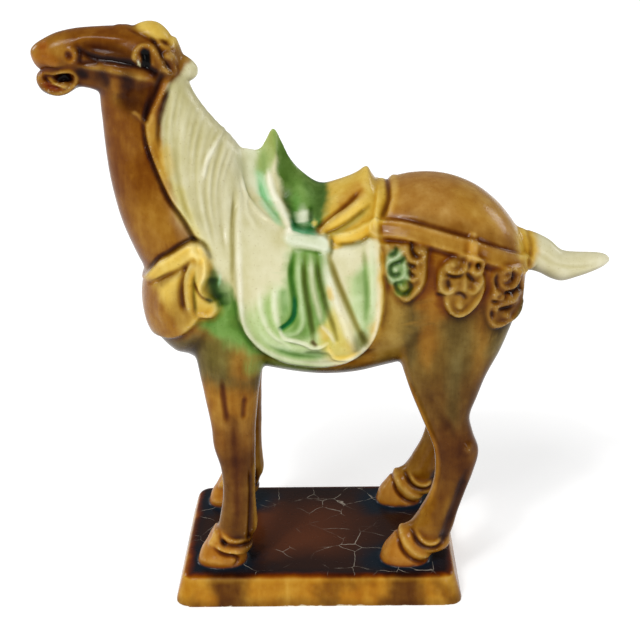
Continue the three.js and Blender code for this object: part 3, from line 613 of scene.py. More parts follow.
# Hanging ornaments: a lobed plate with ridges, grooves and bosses (x, z, width).
pendants = [
    {
        "glaze": "bronze",
        "outline": [29.2, 165, 29.4, 161, 30.3, 154.4, 32.3, 147.5, 36.2, 141.8, 38.9, 140.6, 42.4, 142.8,
            45.1, 145.7, 46.9, 150, 47.3, 155, 47.4, 160.7, 46.7, 164.4],
        "ridges": [[38.2, 165, 37.4, 162, 34.4, 159.4, 31, 157.4, 30.4, 153.4, 32.8, 150.8, 36, 150.8,
            38.2, 153.6, 38, 157], [39.4, 164.6, 39.4, 160.6, 41.2, 158.4, 44, 158.2, 46.4, 160, 46.2, 163,
            44, 164.6], [39, 152.6, 40, 151, 42.4, 150.8, 44, 153, 43.6, 156.4], [46.2, 157.2, 46, 153.2,
            44.9, 148.8, 42.3, 145.3, 39.2, 142.4, 36, 144.4]],
        "grooves": [[41, 165.2, 41.1, 163.2, 41.9, 161.3, 43, 160.5], [39.6, 157.4, 40.8, 156.5,
            42.2, 156.7], [40.1, 154.5, 40.6, 153, 41.8, 152.6]],
        "greenGrooves": [[38.2, 160, 36.6, 158.2, 34.5, 157.5, 32.7, 156.4, 32.1, 154.6, 32.7, 152.8,
            34.5, 152.4, 35.8, 153.3], [34.4, 164, 34.6, 162.6, 33.8, 161.1, 32.3, 160.7], [39.6, 150.5,
            40.6, 148.7, 40.8, 147.1, 39.5, 145.1, 37.5, 144.3, 35.4, 145.5, 34.3, 147.7, 34.6, 149.5,
            36.7, 149.9]],
        "bosses": [(34.4, 155, 4), (44.5, 162.2, 3.8), (41.6, 154.2, 2.6), (37.2, 147.4, 3.6),
            (31.4, 163.6, 3.4)],
    },
    {
        "glaze": "bronze",
        "outline": [55, 157.6, 51.9, 153.4, 51.6, 150, 52, 145, 54.3, 142.9, 54.9, 139.1, 57.2, 135.2,
            60.8, 133.4, 64.6, 134.6, 68, 138.1, 70.1, 141.9, 71.6, 146.6, 71.5, 150, 70.4, 153,
            71.2, 156.6, 67, 160, 60.5, 160.8],
        "ridges": [[64, 159.1, 63.4, 156.1, 61.9, 154, 59.3, 153.6, 56.4, 154.4, 55.2, 157], [66.4, 159,
            69.8, 157.4, 70, 154.2, 68.1, 152.8, 65.8, 154], [62.8, 152.1, 62.9, 148.5, 62.7, 145.8],
            [52.8, 152.4, 53, 148, 54.6, 145.4, 57, 145.6, 59.2, 147.2], [70, 151, 69, 147.6, 66.8, 145,
            64.6, 146], [55.6, 141.4, 57.6, 137, 61, 135, 65, 137, 68.6, 141.4, 70.6, 146]],
        "grooves": [[55.8, 153, 58, 152, 60.6, 152.2, 62, 153], [64, 153, 65.2, 151.3, 66.8, 150],
            [59.6, 144.5, 61.6, 144.6, 63.6, 142.6], [51.8, 144.2, 54.6, 144], [64.6, 157.6, 64.6, 155.4],
            [56, 150.4, 56.6, 147.4], [68.5, 157, 68.4, 155.4]],
        "bosses": [(57.9, 157, 4.2), (53.8, 152, 3.2), (60.8, 139.4, 5), (67.6, 147.6, 3)],
    },
    {
        "glaze": "sienna",
        "outline": [76.4, 153.6, 74.6, 149.4, 74.3, 145.8, 72.8, 140, 72.6, 134.3, 74.6, 128.2, 77.6, 127.2,
            81.4, 128.2, 85.4, 130.6, 88, 136, 89.6, 142, 89, 148, 86.4, 152.6],
        "ridges": [[77.7, 147.3, 80.2, 145, 83.1, 144.9, 85.1, 146.8, 85.6, 150], [77.4, 151.6, 80.4, 152.2,
            81.6, 149.6], [75.4, 145.6, 75.4, 141.8, 78, 140.8, 79, 143], [79.6, 139.8, 83, 139.6,
            86.4, 141], [74.2, 138.4, 77, 138, 80.6, 138.4, 85, 138.4], [74.4, 130.4, 77.4, 128.6,
            81.4, 129.8, 85.2, 132, 88, 137]],
        "grooves": [[82, 152, 83.2, 150.4, 83.2, 147.9], [76.6, 151.3, 76, 149.2, 76.8, 146.4], [79.8, 143,
            81.2, 143.2, 83.6, 142.6, 85.8, 143.8], [78, 136.2, 80.7, 136, 83.4, 136.2], [74.8, 135.2,
            75.1, 132.7], [75.1, 140.4, 76.6, 139.8], [86.4, 146, 87.2, 141.8]],
        "bosses": [(79.3, 149.4, 4), (76.9, 143.6, 3.2), (76.4, 136, 2.6), (81.6, 141.4, 2.4),
            (81, 132.6, 4.4)],
    },
]
pendantPlate = {
    "rise": 1.3, "edge": 1.5, "glazeEdge": 1.4, "cover": 0.85, "boss": 1.6, "bossHalf": 0.2,
    "ridge": 3.4, "ridgeRise": 1.5, "ridgeEnds": 0.6,
    "groove": 2.4, "grooveRise": -1, "grooveCover": 0.7, "grooveEnds": 0.7, "grooveSpread": 1.2,
}

# Legs, hooves and tail.
limbStrokes = [
    stroke(3.4, -0.9, "sepia", 0.7, -40.4, 105, -39.8, 94.2, -38.6, 84),
    stroke(3.2, -0.8, "sepia", 0.6, -30.6, 97, -31.8, 86),
    stroke(6, -0.5, "sepia", 0.55, -36.4, 88, -36, 63.3, -36.6, 34),
    stroke(2.8, -1, "umber", 0.7, -30, 62, -29.6, 52, -30.2, 39.8, -31.2, 27.4, ends=(0.2, 1)),
    stroke(2, 0.5, "honey", 0.6, -27.6, 66, -27.6, 50, -27.8, 36, -28.6, 27),
    stroke(2.8, -1, "umber", 0.7, -44.6, 28.4, -41.4, 25.8, -37, 24.6, -32.4, 24.4, -29.6, 24,
        ends=(0.4, 0.8)),
    stroke(2, 0.8, "honey", 0.5, -43.6, 30.6, -40.6, 27.9, -36.6, 26.8, -32.6, 26.9),
    stroke(3, 1.2, "honey", 0.6, -49.6, 23.4, -47.4, 26.6, -45.6, 30.4),
    stroke(2.8, -1.2, "umber", 0.9, -43.2, 26.6, -42.4, 25.6, ends=(1, 1)),
    stroke(2.2, 1.1, "honey", 0.6, -47.4, 24.9, -42.6, 22.7, -37.2, 21.4, -34, 20),
    stroke(2.2, -1, "umber", 0.6, -46.8, 22.8, -42.6, 20.5, -38, 19.3, -36.4, 17.2, -38.2, 15.4,
        ends=(0.5, 0.6)),
    stroke(5, 0.7, None, 0, -53.4, 16.6, -47, 17.6, -41, 16.2),
    # hind leg
    stroke(2.2, 0.7, "amber", 0.5, 38.6, 106, 43.4, 93, 48.4, 81, 52.6, 71, 53.6, 62, 52.6, 52.4, 50.2, 45,
        46.2, 38),
    stroke(2.4, -0.4, "umber", 0.7, 35.8, 107, 40.4, 95, 46, 82, 51, 71),
    stroke(5.6, -0.8, "umber", 1.5, 66, 60, 62, 45, 59, 36.2, 56.8, 28, ends=(0.3, 1)),
    stroke(2.8, -1.1, "umber", 0.75, 42.4, 30.4, 44.6, 26.4, 48.4, 23.4, 53, 22.8, 57, 25.4,
        ends=(0.5, 0.6)),
    stroke(2, 0.9, "honey", 0.5, 44.4, 31, 46.4, 27.6, 49.6, 25.4, 53, 25.2, 55.6, 27.4),
    stroke(4.4, 1.1, "ochre", 0.7, 37.6, 29.4, 40, 24.6, 44.6, 20.2, 50.6, 17, ends=(0.6, 0.6)),
    stroke(2.2, -1, "umber", 0.65, 35.9, 27.4, 38, 21.9, 42.6, 17.6, 47.2, 15.4, ends=(0.6, 0.6)),
    stroke(6, 0.8, None, 0, 65.6, 72.6, 67.4, 70, ends=(0.6, 0.6)),
    stroke(8, -0.6, None, 0, 47, 100, 54, 88, 59.6, 79),
    stroke(5, 0.4, None, 0, 62, 96, 61.4, 84, 62.6, 76),
    # tail
    stroke(2.4, -0.6, None, 0, 95, 154, 104, 148.4, 114, 145.6, 124, 146.4),
    stroke(2.4, -0.4, "sepia", 0.4, 92.6, 163, 94.4, 156, 93, 148),
]

# Larger raised areas. A head, foot or rear says between which places the area fades.
pads = [
    # mane
    {"rise": 1.5, "soft": 1.6, "foot": (150, 164), "rear": (-24, -38), "outline": [-63, 234, -68.6, 213,
        -67.4, 203, -63, 191, -58.6, 182.4, -52.6, 174.4, -48.2, 167, -42, 156, -36, 140, -10, 140, -4, 200,
        -20, 226, -50, 252]},
    # chest under the cloth
    {"rise": 1.8, "soft": 7, "outline": [-92, 146, -76, 147, -64, 158, -50, 163, -44, 150, -48, 130,
        -57, 114, -66, 107, -92, 104]},
    # chest cloth
    {"rise": 1.6, "soft": 1.1, "outline": [-84, 146, -72.6, 147.8, -65.2, 157, -60, 160.6, -54.6, 164.2,
        -49.6, 166, -45, 164, -43.2, 158.6, -43.8, 152.5, -46.2, 147.6, -44.8, 144.4, -41.5, 142.4,
        -40, 138.6, -42.8, 134.4, -47.5, 134.6, -51, 130.6, -57, 125.6, -65, 123, -84, 122]},
    # saddle cloth
    {"rise": 2.1, "soft": 1.3, "head": (192, 168), "outline": [-31, 200, -32.2, 184, -32.4, 165, -32.3, 148,
        -31.5, 134, -27, 122.5, -20, 115.3, -12, 111, -1.5, 109, 10, 110, 19.5, 115.4, 26, 124.5, 29, 136,
        29.5, 148, 28.4, 160, 28, 172, 28, 200]},
    # ear
    {"rise": 1, "soft": 1.8, "outline": [-64, 245, -60.6, 244.8, -58, 242, -56.8, 238.4, -56.4, 234.6,
        -57.8, 232, -60.4, 234.2, -62.4, 240]},
]

# Joints between masses that are smoothed over before the relief goes on: passes, softness, outline.
blends = [
    # shoulder, withers and front of the saddle
    (90, 8, -46, 204, -30, 206, -20, 196, -8, 184, 4, 180, 6, 166, -14, 160, -36, 160, -50, 172),
    (60, 6, 10, 186, 26, 188, 38, 184, 38, 170, 22, 164, 6, 166),
    (60, 8, -84, 158, -64, 172, -44, 164, -40, 140, -60, 132, -80, 138),
    (40, 5, -66, 246, -52, 244, -45, 236, -50, 226, -64, 226),
    (40, 6, -92, 226, -64, 228, -60, 214, -74, 208, -92, 212),
    (60, 8, -58, 126, -16, 122, -16, 94, -56, 98),
    (60, 8, 30, 136, 92, 144, 90, 112, 66, 96, 36, 98),
    (40, 5, 82, 170, 100, 168, 100, 136, 84, 136),
    (20, 3, -60, 31, 68, 31, 68, 18, -60, 18),
]


def pendantStrokes(pendant):
    size = pendantPlate
    strokes = [
        stroke(size["ridge"], size["ridgeRise"], None, 0, *route, ends=(size["ridgeEnds"],) * 2)
        for route in pendant["ridges"]
    ]
    half = size["bossHalf"]
    for x, z, wide in pendant["bosses"]:
        route = (x - half, z + half, x + half, z - half)
        strokes.append(stroke(wide, size["boss"], None, 0, *route, ends=(1, 1)))
    for name, glaze in (("grooves", "umber"), ("greenGrooves", "moss")):
        for route in pendant.get(name, []):
            strokes.append(stroke(
                size["groove"], size["grooveRise"], glaze, size["grooveCover"], *route,
                ends=(size["grooveEnds"],) * 2, spread=size["grooveSpread"],
            ))
    return strokes


def lockStrokes():
    strokes = []
    front = np.array(mane["front"])
    rear = np.array(mane["rear"])
    for index in range(mane["locks"]):
        share = (index + 0.5) / mane["locks"]
        bend = mane["bend"] * math.sin(index * mane["bendTurn"])
        route = front * (1 - share) + rear * share + np.array([bend, 0])
        depth = mane["depth"] * (1 + mane["depthChange"] * math.sin(index * mane["depthTurn"]))
        strokes.append(stroke(mane["width"], -depth, mane["glaze"], mane["cover"], *route))
        if index:
            ridge = route - np.array([mane["ridgeAhead"], 0])
            width = mane["width"] * mane["ridgeWidth"]
            strokes.append(stroke(width, depth * mane["ridgeRise"], None, 0, *ridge))
    return strokes


def everyStroke():
    strokes = lockStrokes() + headStrokes + neckStrokes + chestStrokes + saddleStrokes + flapStrokes
    strokes += strapStrokes + limbStrokes
    for pendant in pendants:
        strokes += pendantStrokes(pendant)
    return strokes


outerSide = {"facing": (-0.45, -0.1), "hooves": (36, 31)}


def facingOut(places, normals):
    # 1 on the hooves and where the surface faces away from the middle plane, 0 on the inner sides
    outward = smoothStep(*outerSide["facing"], normals[:, 1] * np.sign(places[:, 1]))
    return np.maximum(outward, smoothStep(*outerSide["hooves"], places[:, 2]))


def carve(mesh):
    edges = readItems(mesh.edges, "vertices", 2, np.int32)
    places = relax(readPlaces(mesh), edges, clay["softPasses"])
    for passes, soft, *outline in blends:
        places = relax(places, edges, passes, padShare(outline, soft, places[:, [0, 2]]))
    writePlaces(mesh, places)
    print("masses softened")
    normals = readNormals(mesh)
    spots = places[:, [0, 2]]
    height = np.zeros(len(places))
    for pad in pads:
        share = padShare(pad["outline"], pad["soft"], spots)
        for fade, axis in (("head", 2), ("foot", 2), ("rear", 0)):
            if fade in pad:
                share = share * smoothStep(*pad[fade], places[:, axis])
        height += pad["rise"] * share
    for pendant in pendants:
        height += pendantPlate["rise"] * padShare(pendant["outline"], pendantPlate["edge"], spots)
    for each in everyStroke():
        height += strokeHeight(each, spots)[0]
    start, full = (plinth["height"] + lift for lift in clay["clearOfBase"])
    height *= facingOut(places, normals) * smoothStep(start, full, places[:, 2])
    places = places + normals * height[:, None]
    places = relax(places, edges, clay["reliefPasses"])
    writePlaces(mesh, places)
    print("relief carved")
    return edges


# Glaze colours, as sRGB from 0 to 255.
glazes = {
    "body": (146, 98, 26), "chestnut": (117, 68, 10), "amber": (172, 114, 32), "honey": (194, 146, 60),
    "straw": (236, 204, 104), "ochre": (172, 128, 46), "umber": (56, 26, 4), "sepia": (104, 60, 16),
    "black": (4, 5, 4), "rust": (160, 84, 26), "bone": (230, 226, 200), "cream": (212, 207, 170),
    "sand": (178, 170, 124), "grey": (202, 196, 152), "celadon": (186, 206, 150), "mint": (148, 204, 156),
    "mintPale": (208, 214, 184), "fern": (92, 142, 62), "moss": (56, 88, 34), "olive": (112, 108, 42),
    "deepGreen": (14, 58, 42), "haunch": (108, 82, 30), "rump": (168, 122, 54), "lemon": (214, 198, 96),
    "leaf": (112, 148, 70), "saddleGreen": (90, 118, 48), "tailCream": (208, 202, 166),
    "hoof": (166, 110, 36), "caramel": (170, 116, 26), "gold": (208, 174, 76), "sienna": (130, 88, 28),
    "khaki": (156, 146, 74),
    "teal": (50, 138, 88), "bronze": (154, 118, 48), "pistachio": (150, 170, 92), "cocoa": (66, 32, 2),
    "leather": (84, 46, 6), "flank": (158, 130, 58), "loden": (88, 74, 34),
}

# Poured areas: glaze, softness of the edge, how much of it, outline. A later one covers an earlier one.
areas = [
    ("chestnut", 8, 1, -122, 258, -50, 258, -56, 232, -62, 210, -60, 184, -52, 168, -60, 156, -76, 144,
        -98, 150, -104, 214, -122, 218),
    ("body", 16, 0.8, -78, 180, -62, 182, -54, 166, -62, 156, -76, 158),
    ("cocoa", 7, 0.5, -96, 237, -84, 235, -70, 232, -66, 226, -70, 216, -78, 219, -86, 226, -95, 229),
    ("body", 5, 0.6, -84, 229, -80, 229, -79, 222, -83, 222),
    ("leather", 4, 0.6, -98, 244, -86, 245.6, -72, 244, -72, 237, -86, 238, -97, 240),
    ("body", 6, 0.55, -118, 246, -104, 251, -99, 246, -97, 236, -104, 234, -118, 235),
    ("leather", 4, 0.5, -114, 229, -100, 226, -97, 221, -113, 220),
    ("leather", 5, 0.35, -115, 239, -100, 238, -99, 234, -114, 233),
    ("rust", 4, 0.3, -117, 240, -108, 243, -104, 238, -112, 234),
    ("rump", 10, 0.9, 28, 200, 60, 196, 100, 176, 94, 156, 66, 166, 30, 172),
    ("ochre", 9, 0.7, 60, 186, 78, 180, 86, 168, 76, 168, 62, 176),
    ("sienna", 5, 0.7, 40, 178, 58, 174, 76, 168, 90, 160, 86, 156, 66, 166, 44, 173),
    ("haunch", 12, 0.95, 38, 140, 54, 134, 94, 140, 92, 116, 78, 84, 54, 78, 42, 94, 36, 118),
    ("flank", 8, 0.75, 28, 146, 36, 142, 40, 124, 34, 106, 26, 112),
    ("loden", 8, 0.8, 78, 134, 90, 140, 93, 122, 84, 104, 76, 112),
    ("loden", 5, 0.6, 39, 142, 43, 140, 44, 116, 41, 108, 38, 122),
    ("body", 6, 0.7, 46, 142, 53, 138, 52, 120, 48, 108, 45, 122),
    ("loden", 6, 0.6, 57, 134, 64, 132, 66, 108, 60, 96, 56, 116),
    ("body", 6, 0.5, 69, 134, 73, 130, 73, 108, 69, 104),
    ("leather", 18, 0.6, 42, 100, 80, 106, 78, 64, 60, 62, 48, 76),
    ("loden", 5, 0.6, 58, 112, 63, 112, 62, 92, 60, 78, 57, 92),
    ("leather", 14, 0.9, 30, 76, 78, 76, 78, 30, 30, 30),
    ("caramel", 12, 0.35, 30, 50, 62, 50, 58, 18, 30, 16),
    ("leather", 5, 0.5, 54.6, 56, 60.6, 56, 57.8, 31, 52, 31),
    ("body", 8, 0.9, -50, 108, -26, 108, -26, 88, -46, 84),
    ("sepia", 10, 0.65, -48, 84, -24, 84, -24, 60, -46, 60),
    ("cocoa", 8, 0.6, -50, 66, -22, 66, -22, 22, -50, 22),
    ("cocoa", 6, 0.7, -38.8, 80, -33.4, 80, -33.8, 24, -38.8, 24),
    ("loden", 9, 0.9, -84, 128, -66, 125, -50, 124, -40, 112, -24, 108, -24, 100, -50, 103, -72, 108),
    ("loden", 6, 0.95, -24, 110, 8, 106, 34, 110, 30, 98, -20, 96),
    ("leaf", 7, 1, -48, 152, -34, 160, -30, 150, -30, 130, -22, 116, -32, 116, -42, 124, -49, 134),
    ("loden", 8, 0.85, -58, 126, -36, 122, -28, 112, -40, 104, -54, 108),
    ("olive", 8, 0.4, -46, 124, -34, 122, -26, 112, -36, 108, -46, 114),
    ("amber", 7, 0.5, -36, 117, -30, 119, -24, 112, -26, 105, -36, 106),
    ("leaf", 5, 0.6, -28, 114, -8, 109, 0, 106, -6, 101, -28, 107),
    ("gold", 5, 1, -72.6, 148, -65.2, 157, -54.6, 164.6, -49.6, 166.4, -44, 164, -42, 158, -44, 150,
        -41, 142, -42.8, 134.4, -49, 133, -54, 129, -60, 134, -66, 142),
    ("body", 7, 0.9, -84, 147, -70, 148, -64, 142, -58, 132, -54, 126, -66, 122, -84, 124),
    ("sienna", 6, 0.6, -58, 147, -52, 148, -50, 138, -54, 130, -60, 134),
    ("gold", 4, 1, -74.4, 253, -70.6, 250.4, -67, 248.4, -64, 246.8, -60, 246.4, -57, 243.6, -54, 238,
        -50, 242, -58, 258, -74, 258),
    ("sienna", 4, 0.85, -65, 246, -58, 245, -52, 240, -53, 231, -58, 230, -63, 236),
    # mane
    ("ochre", 3.5, 0.9, -69, 214, -64, 216, -60.6, 204, -57, 186, -49, 170, -44, 160, -49, 166, -57, 178,
        -62, 188, -67, 199),
    ("grey", 2.6, 1, -48.6, 242, -51.6, 236, -54, 231.6, -58.8, 229, -60.4, 222, -61.8, 210, -61.6, 203,
        -59.6, 194, -57.4, 186, -52, 175, -46, 165, -42.6, 157, -37, 151, -24, 150, -8, 170, -20, 204,
        -40, 226, -42, 246),
    ("cream", 20, 0.9, -54, 190, -44, 202, -30, 206, -12, 190, -20, 150, -37, 150, -44, 158),
    ("lemon", 6, 0.6, -58, 190, -54, 186, -48, 172, -44, 164, -48, 165, -55, 177),
    ("gold", 4, 0.6, -61, 205, -58, 203, -57.6, 194, -60.6, 192, -63, 200),
    ("mintPale", 7, 0.6, -30, 200, -23, 202, -18, 180, -12, 170, -20, 170, -26, 180),
    # saddle
    ("saddleGreen", 3, 1, -19, 214, -14, 212, -2, 190, 8, 188, 9, 180, 6, 172, -8, 169, -9.6, 176, -14, 184,
        -16, 196),
    ("pistachio", 3, 0.8, -21, 213, -15, 212, -14.4, 204, -17, 196, -20, 190, -24.5, 194),
    ("fern", 3, 0.25, -22.6, 197, -20.6, 199, -19.4, 192, -22, 190),
    ("moss", 5, 0.3, -14.5, 205, -9, 194, -6, 184, -8, 172, -12, 182, -15, 194),
    ("leaf", 6, 0.8, -9, 186, -1, 184, 0, 178, -8, 176),
    ("deepGreen", 5, 0.25, -4, 186, 4, 183, 8, 180, 4, 174, -1, 176),
    ("teal", 4, 0.45, -9.6, 176, -6, 174, 1, 174, 4, 169, -8, 169),
    ("mint", 4, 0.65, -24, 190, -21, 190, -16, 180, -11, 174, -14, 171, -20, 177),
    ("gold", 4, 1, 8, 189, 16, 191, 27, 196, 31, 184, 27.6, 168, 10, 163, 3, 167, 5, 174, 7, 182),
    ("gold", 5, 0.4, 26, 190, 34, 192, 36, 182, 31, 176, 26, 180),
    # saddle cloth
    ("cream", 1.8, 1, -32, 182, -32.6, 165, -32.5, 148, -31.5, 134, -27, 122.5, -20, 115.3, -12, 111,
        -1.5, 109, 10, 110, 19.5, 115.4, 26, 124.5, 28.6, 136, 29, 148, 28, 160, 25, 167, 10, 163.4,
        -9, 170.4, -16, 176, -26, 184),
    ("celadon", 8, 0.85, -27, 134, -18, 146, -11, 150, -9, 164, 3, 162, 8, 140, 6, 118, -8, 112, -22, 120),
    ("leaf", 6, 0.7, -33, 142, -30, 140, -27, 126, -14, 115, 2, 112, 8, 110, 2, 107, -14, 109, -28, 120,
        -33, 132),
    ("leaf", 4, 0.9, -14, 134, -11, 146, -9.6, 162, 3, 162, 6, 150, 4, 132, -2, 124, -8, 128, -15, 127),
    ("leaf", 5, 0.7, -15, 133, -7, 137, -3, 128, -6, 123, -13, 125),
    ("lemon", 5, 0.75, 4, 130, 9, 140, 13, 134, 17, 118, 10, 112, 3, 118),
    ("celadon", 5, 0.8, 16, 150, 24, 156, 24.6, 128, 20, 120, 17, 130, 15, 140),
    ("leaf", 4, 0.35, 18, 150, 22.6, 150, 23.4, 132, 20.6, 126),
    ("gold", 3, 0.8, 26.4, 168, 29, 166, 30, 148, 29, 132, 25.4, 120, 23, 120, 26, 134, 27.4, 148),
    ("olive", 4, 0.6, 17, 124, 22, 127, 23, 118, 18, 113),
    ("mintPale", 2.6, 1, -9, 170, -2, 169, 6.8, 167, 6.9, 161, -1, 162, -8.6, 164),
    # tail
    ("gold", 5, 0.8, 88, 166, 100, 164, 98, 150, 93, 146, 88, 150),
    ("tailCream", 4, 1, 98, 154, 101, 162, 134, 160, 134, 138, 100, 132, 94, 144),
    # hooves
    ("hoof", 5, 0.95, -60, 10, -60, 26, -46, 32, -34, 22, -30, 10),
    ("hoof", 5, 0.95, 24, 10, 26, 26, 38, 31, 52, 17, 54, 10),
]
# The near half of the first hanging ornament took the green glaze.
greenSpill = [
    ("mint", 3, 0.55, 29.6, 160, 34, 163, 38.6, 160, 39.6, 154, 38, 150, 32, 150),
    ("leaf", 3, 0.6, 33.6, 150, 38.6, 150, 39, 144, 35, 144),
]
# How the glaze is laid: how far area edges wander, how much of each stroke is laid, painted shade on
# down-facing surfaces and painted light on the shaded inner faces of the legs.
pouring = {
    "scale": 0.11, "reach": 1.7, "finer": 3, "finerShare": 0.5, "strokes": 0.85,
    "underside": (-0.25, -0.95), "undersideCover": 0.55,
    "paintedLightInnerTop": (106, 92), "paintedLightInnerFoot": (20, 28), "paintedLightInnerCover": 0.6,
}


def linear(colour):
    share = np.array(colour) / 255
    return np.where(share <= 0.04045, share / 12.92, ((share + 0.055) / 1.055) ** 2.4)


def paint(mesh):
    places = readPlaces(mesh)
    fine = pouring["scale"] * pouring["finer"]
    drift = np.array([noise.noise_vector(Vector(spot * pouring["scale"])) for spot in places])
    drift += pouring["finerShare"] * np.array([noise.noise_vector(Vector(spot * fine)) for spot in places])
    spots = places[:, [0, 2]]
    wandered = spots + drift[:, [0, 2]] * pouring["reach"]
    colour = np.repeat(linear(glazes["body"])[None], len(places), 0)

    def lay(name, share):
        colour[:] = colour + (linear(glazes[name]) - colour) * share[:, None]

    def pour(rows):
        for glaze, soft, cover, *outline in rows:
            lay(glaze, cover * padShare(outline, soft, wandered))

    pour(areas)
    normals = readNormals(mesh)
    # painted shade: surfaces that face down, such as the belly, are laid darker with umber
    lay("umber", pouring["undersideCover"] * smoothStep(*pouring["underside"], normals[:, 2]))
    for pendant in pendants:
        plate = padShare(pendant["outline"], pendantPlate["glazeEdge"], spots)
        lay(pendant["glaze"], pendantPlate["cover"] * plate)
    pour(greenSpill)
    facing = facingOut(places, normals)
    # painted light: the inner faces of the legs, which lie in shade, are laid lighter with sienna from
    # above the hooves up to the belly
    paintedLightInner = pouring["paintedLightInnerCover"] * (1 - facing) * smoothStep(*pouring["paintedLightInnerTop"], places[:, 2])
    lay("sienna", paintedLightInner * smoothStep(*pouring["paintedLightInnerFoot"], places[:, 2]))
    for each in everyStroke():
        if each["glaze"]:
            cover = strokeHeight(each, spots)[1] * each["cover"] * pouring["strokes"]
            lay(each["glaze"], np.minimum(cover, 1) * facing)
    layer = mesh.attributes.new("glaze", "FLOAT_COLOR", "POINT")
    opaque = np.column_stack([colour, np.ones(len(colour))])
    layer.data.foreach_set("color", opaque.astype(np.float32).ravel())
    print("glaze laid on", len(places), "places")


# Hollows and crests at two sizes: the depth in mm that counts as full, and its share.
marks = {
    "nearPasses": 14, "widePasses": 60, "softPasses": 8,
    "hollow": ((0.26, 0.7), (1, 0.4)), "crest": ((0.22, 0.7), (1.1, 0.3)),
}


def markHollows(mesh, edges):
    # how far each place lies under or over the surface round it, at two sizes
    places = readPlaces(mesh)
    normals = readNormals(mesh)
    near = relax(places, edges, marks["nearPasses"])
    wide = relax(near, edges, marks["widePasses"])
    fine = ((near - places) * normals).sum(1)
    broad = ((wide - places) * normals).sum(1)

    def mark(name, sign):
        return sum(
            np.clip(sign * depth / full, 0, 1) * share
            for depth, (full, share) in zip((fine, broad), marks[name])
        )

    softened = relax(np.column_stack([mark("hollow", 1), mark("crest", -1)]), edges, marks["softPasses"])
    for column, name in enumerate(("hollow", "crest")):
        layer = mesh.attributes.new(name, "FLOAT", "POINT")
        layer.data.foreach_set("value", np.clip(softened[:, column], 0, 1).astype(np.float32))


# Clouds that vary the glaze: scale and detail.
clouds = {
    "blotch": (55, 3), "mottle": (170, 4), "runs": (230, 4), "fleck": (1100, 2), "wear": (900, 3),
    "crackled": (42, 2), "patches": (42, 3), "sheen": (300, 2), "pinholes": (420, 3), "grain": (1500, 2),
}
# Thickness of the glaze: thick and deep in hollows, thin and pale over ridges.
coat = {
    "plain": 1.06, "hollow": 1.1, "crest": 0.32, "blotch": 0.55, "mottle": 0.5, "runs": 0.5,
    "thin": 0.6, "thick": 2.4,
}
# Bands: none of it at the first number, all of it at the second. On the base these are in mm.
bands = {
    "fleck": (0.64, 0.74), "wear": (0.57, 0.65), "wearCrest": (0.3, 0.7), "wearBlotch": (0.42, 0.56),
    "topEdge": (0.4, 4.4), "topFace": (12.9, 13.3), "slab": (14.6, 13.9), "blue": (2.1, 1.35),
    "heartInset": (18, 42), "heartAlong": (42, -4), "rim": (12, 5),
    "crack": (0.008, 0.002), "crackled": (0.46, 0.6), "crackMottle": (0.38, 0.56),
    "patches": (0.48, 0.62), "corner": (12, 4), "sideTop": (11.4, 13.6), "sideFoot": (8.4, 3.2),
    "bareFoot": (2.5, 2.1), "bareRuns": (0.45, 0.55), "overflow": (-2.5, 2.5), "overflowRise": (11.8, 13.2),
    "hoofTop": (17, 15), "hoofFoot": (13.8, 14.2),
}
# Linear colours that no poured glaze has, and how much of each is laid.
tones = {
    "fleck": (0.45, 0.3, 0.16, 0.35), "worn": (0.6, 0.5, 0.32, 0.35), "crackle": (0.6, 0.54, 0.44, 0.6),
    "pool": (0.022, 0.008, 0.005, 1), "poolHeart": (0.115, 0.03, 0.008, 0.8),
    "blue": (0.004, 0.010, 0.018, 1), "rim": (0.008, 0.006, 0.008, 0.8),
    "hoofPool": (0.01, 0.014, 0.02, 0.9),
}
base = {
    "poolsAt": (-44, 39), "poolAside": 27.5, "poolLong": 19, "poolWide": 13.5, "poolWander": 1.2,
    "edgeWander": 7, "heartWander": 16, "alongWander": 14, "rimWander": 8, "cornerWander": 14,
    "footWander": 6, "bareWander": 4, "heightWander": 3, "cornerAt": 47,
    "cellScale": 64, "bendScale": 60, "bend": 0.006,
    "patches": 0.5, "corners": 0.9, "sideTop": 0.2, "sideFoot": 0.5, "bareFoot": 0.6, "overflow": 1.5,
}
finish = {
    "streak": (1, 1, 0.2), "roughness": 0.14, "sheen": 0.2, "specular": 0.08,
    "coat": 0.05, "coatRoughness": 0.05,
    "pinholes": 0.5, "grain": 0.12, "crackle": -0.4, "bump": 0.35, "bumpDistance": 0.0004,
}


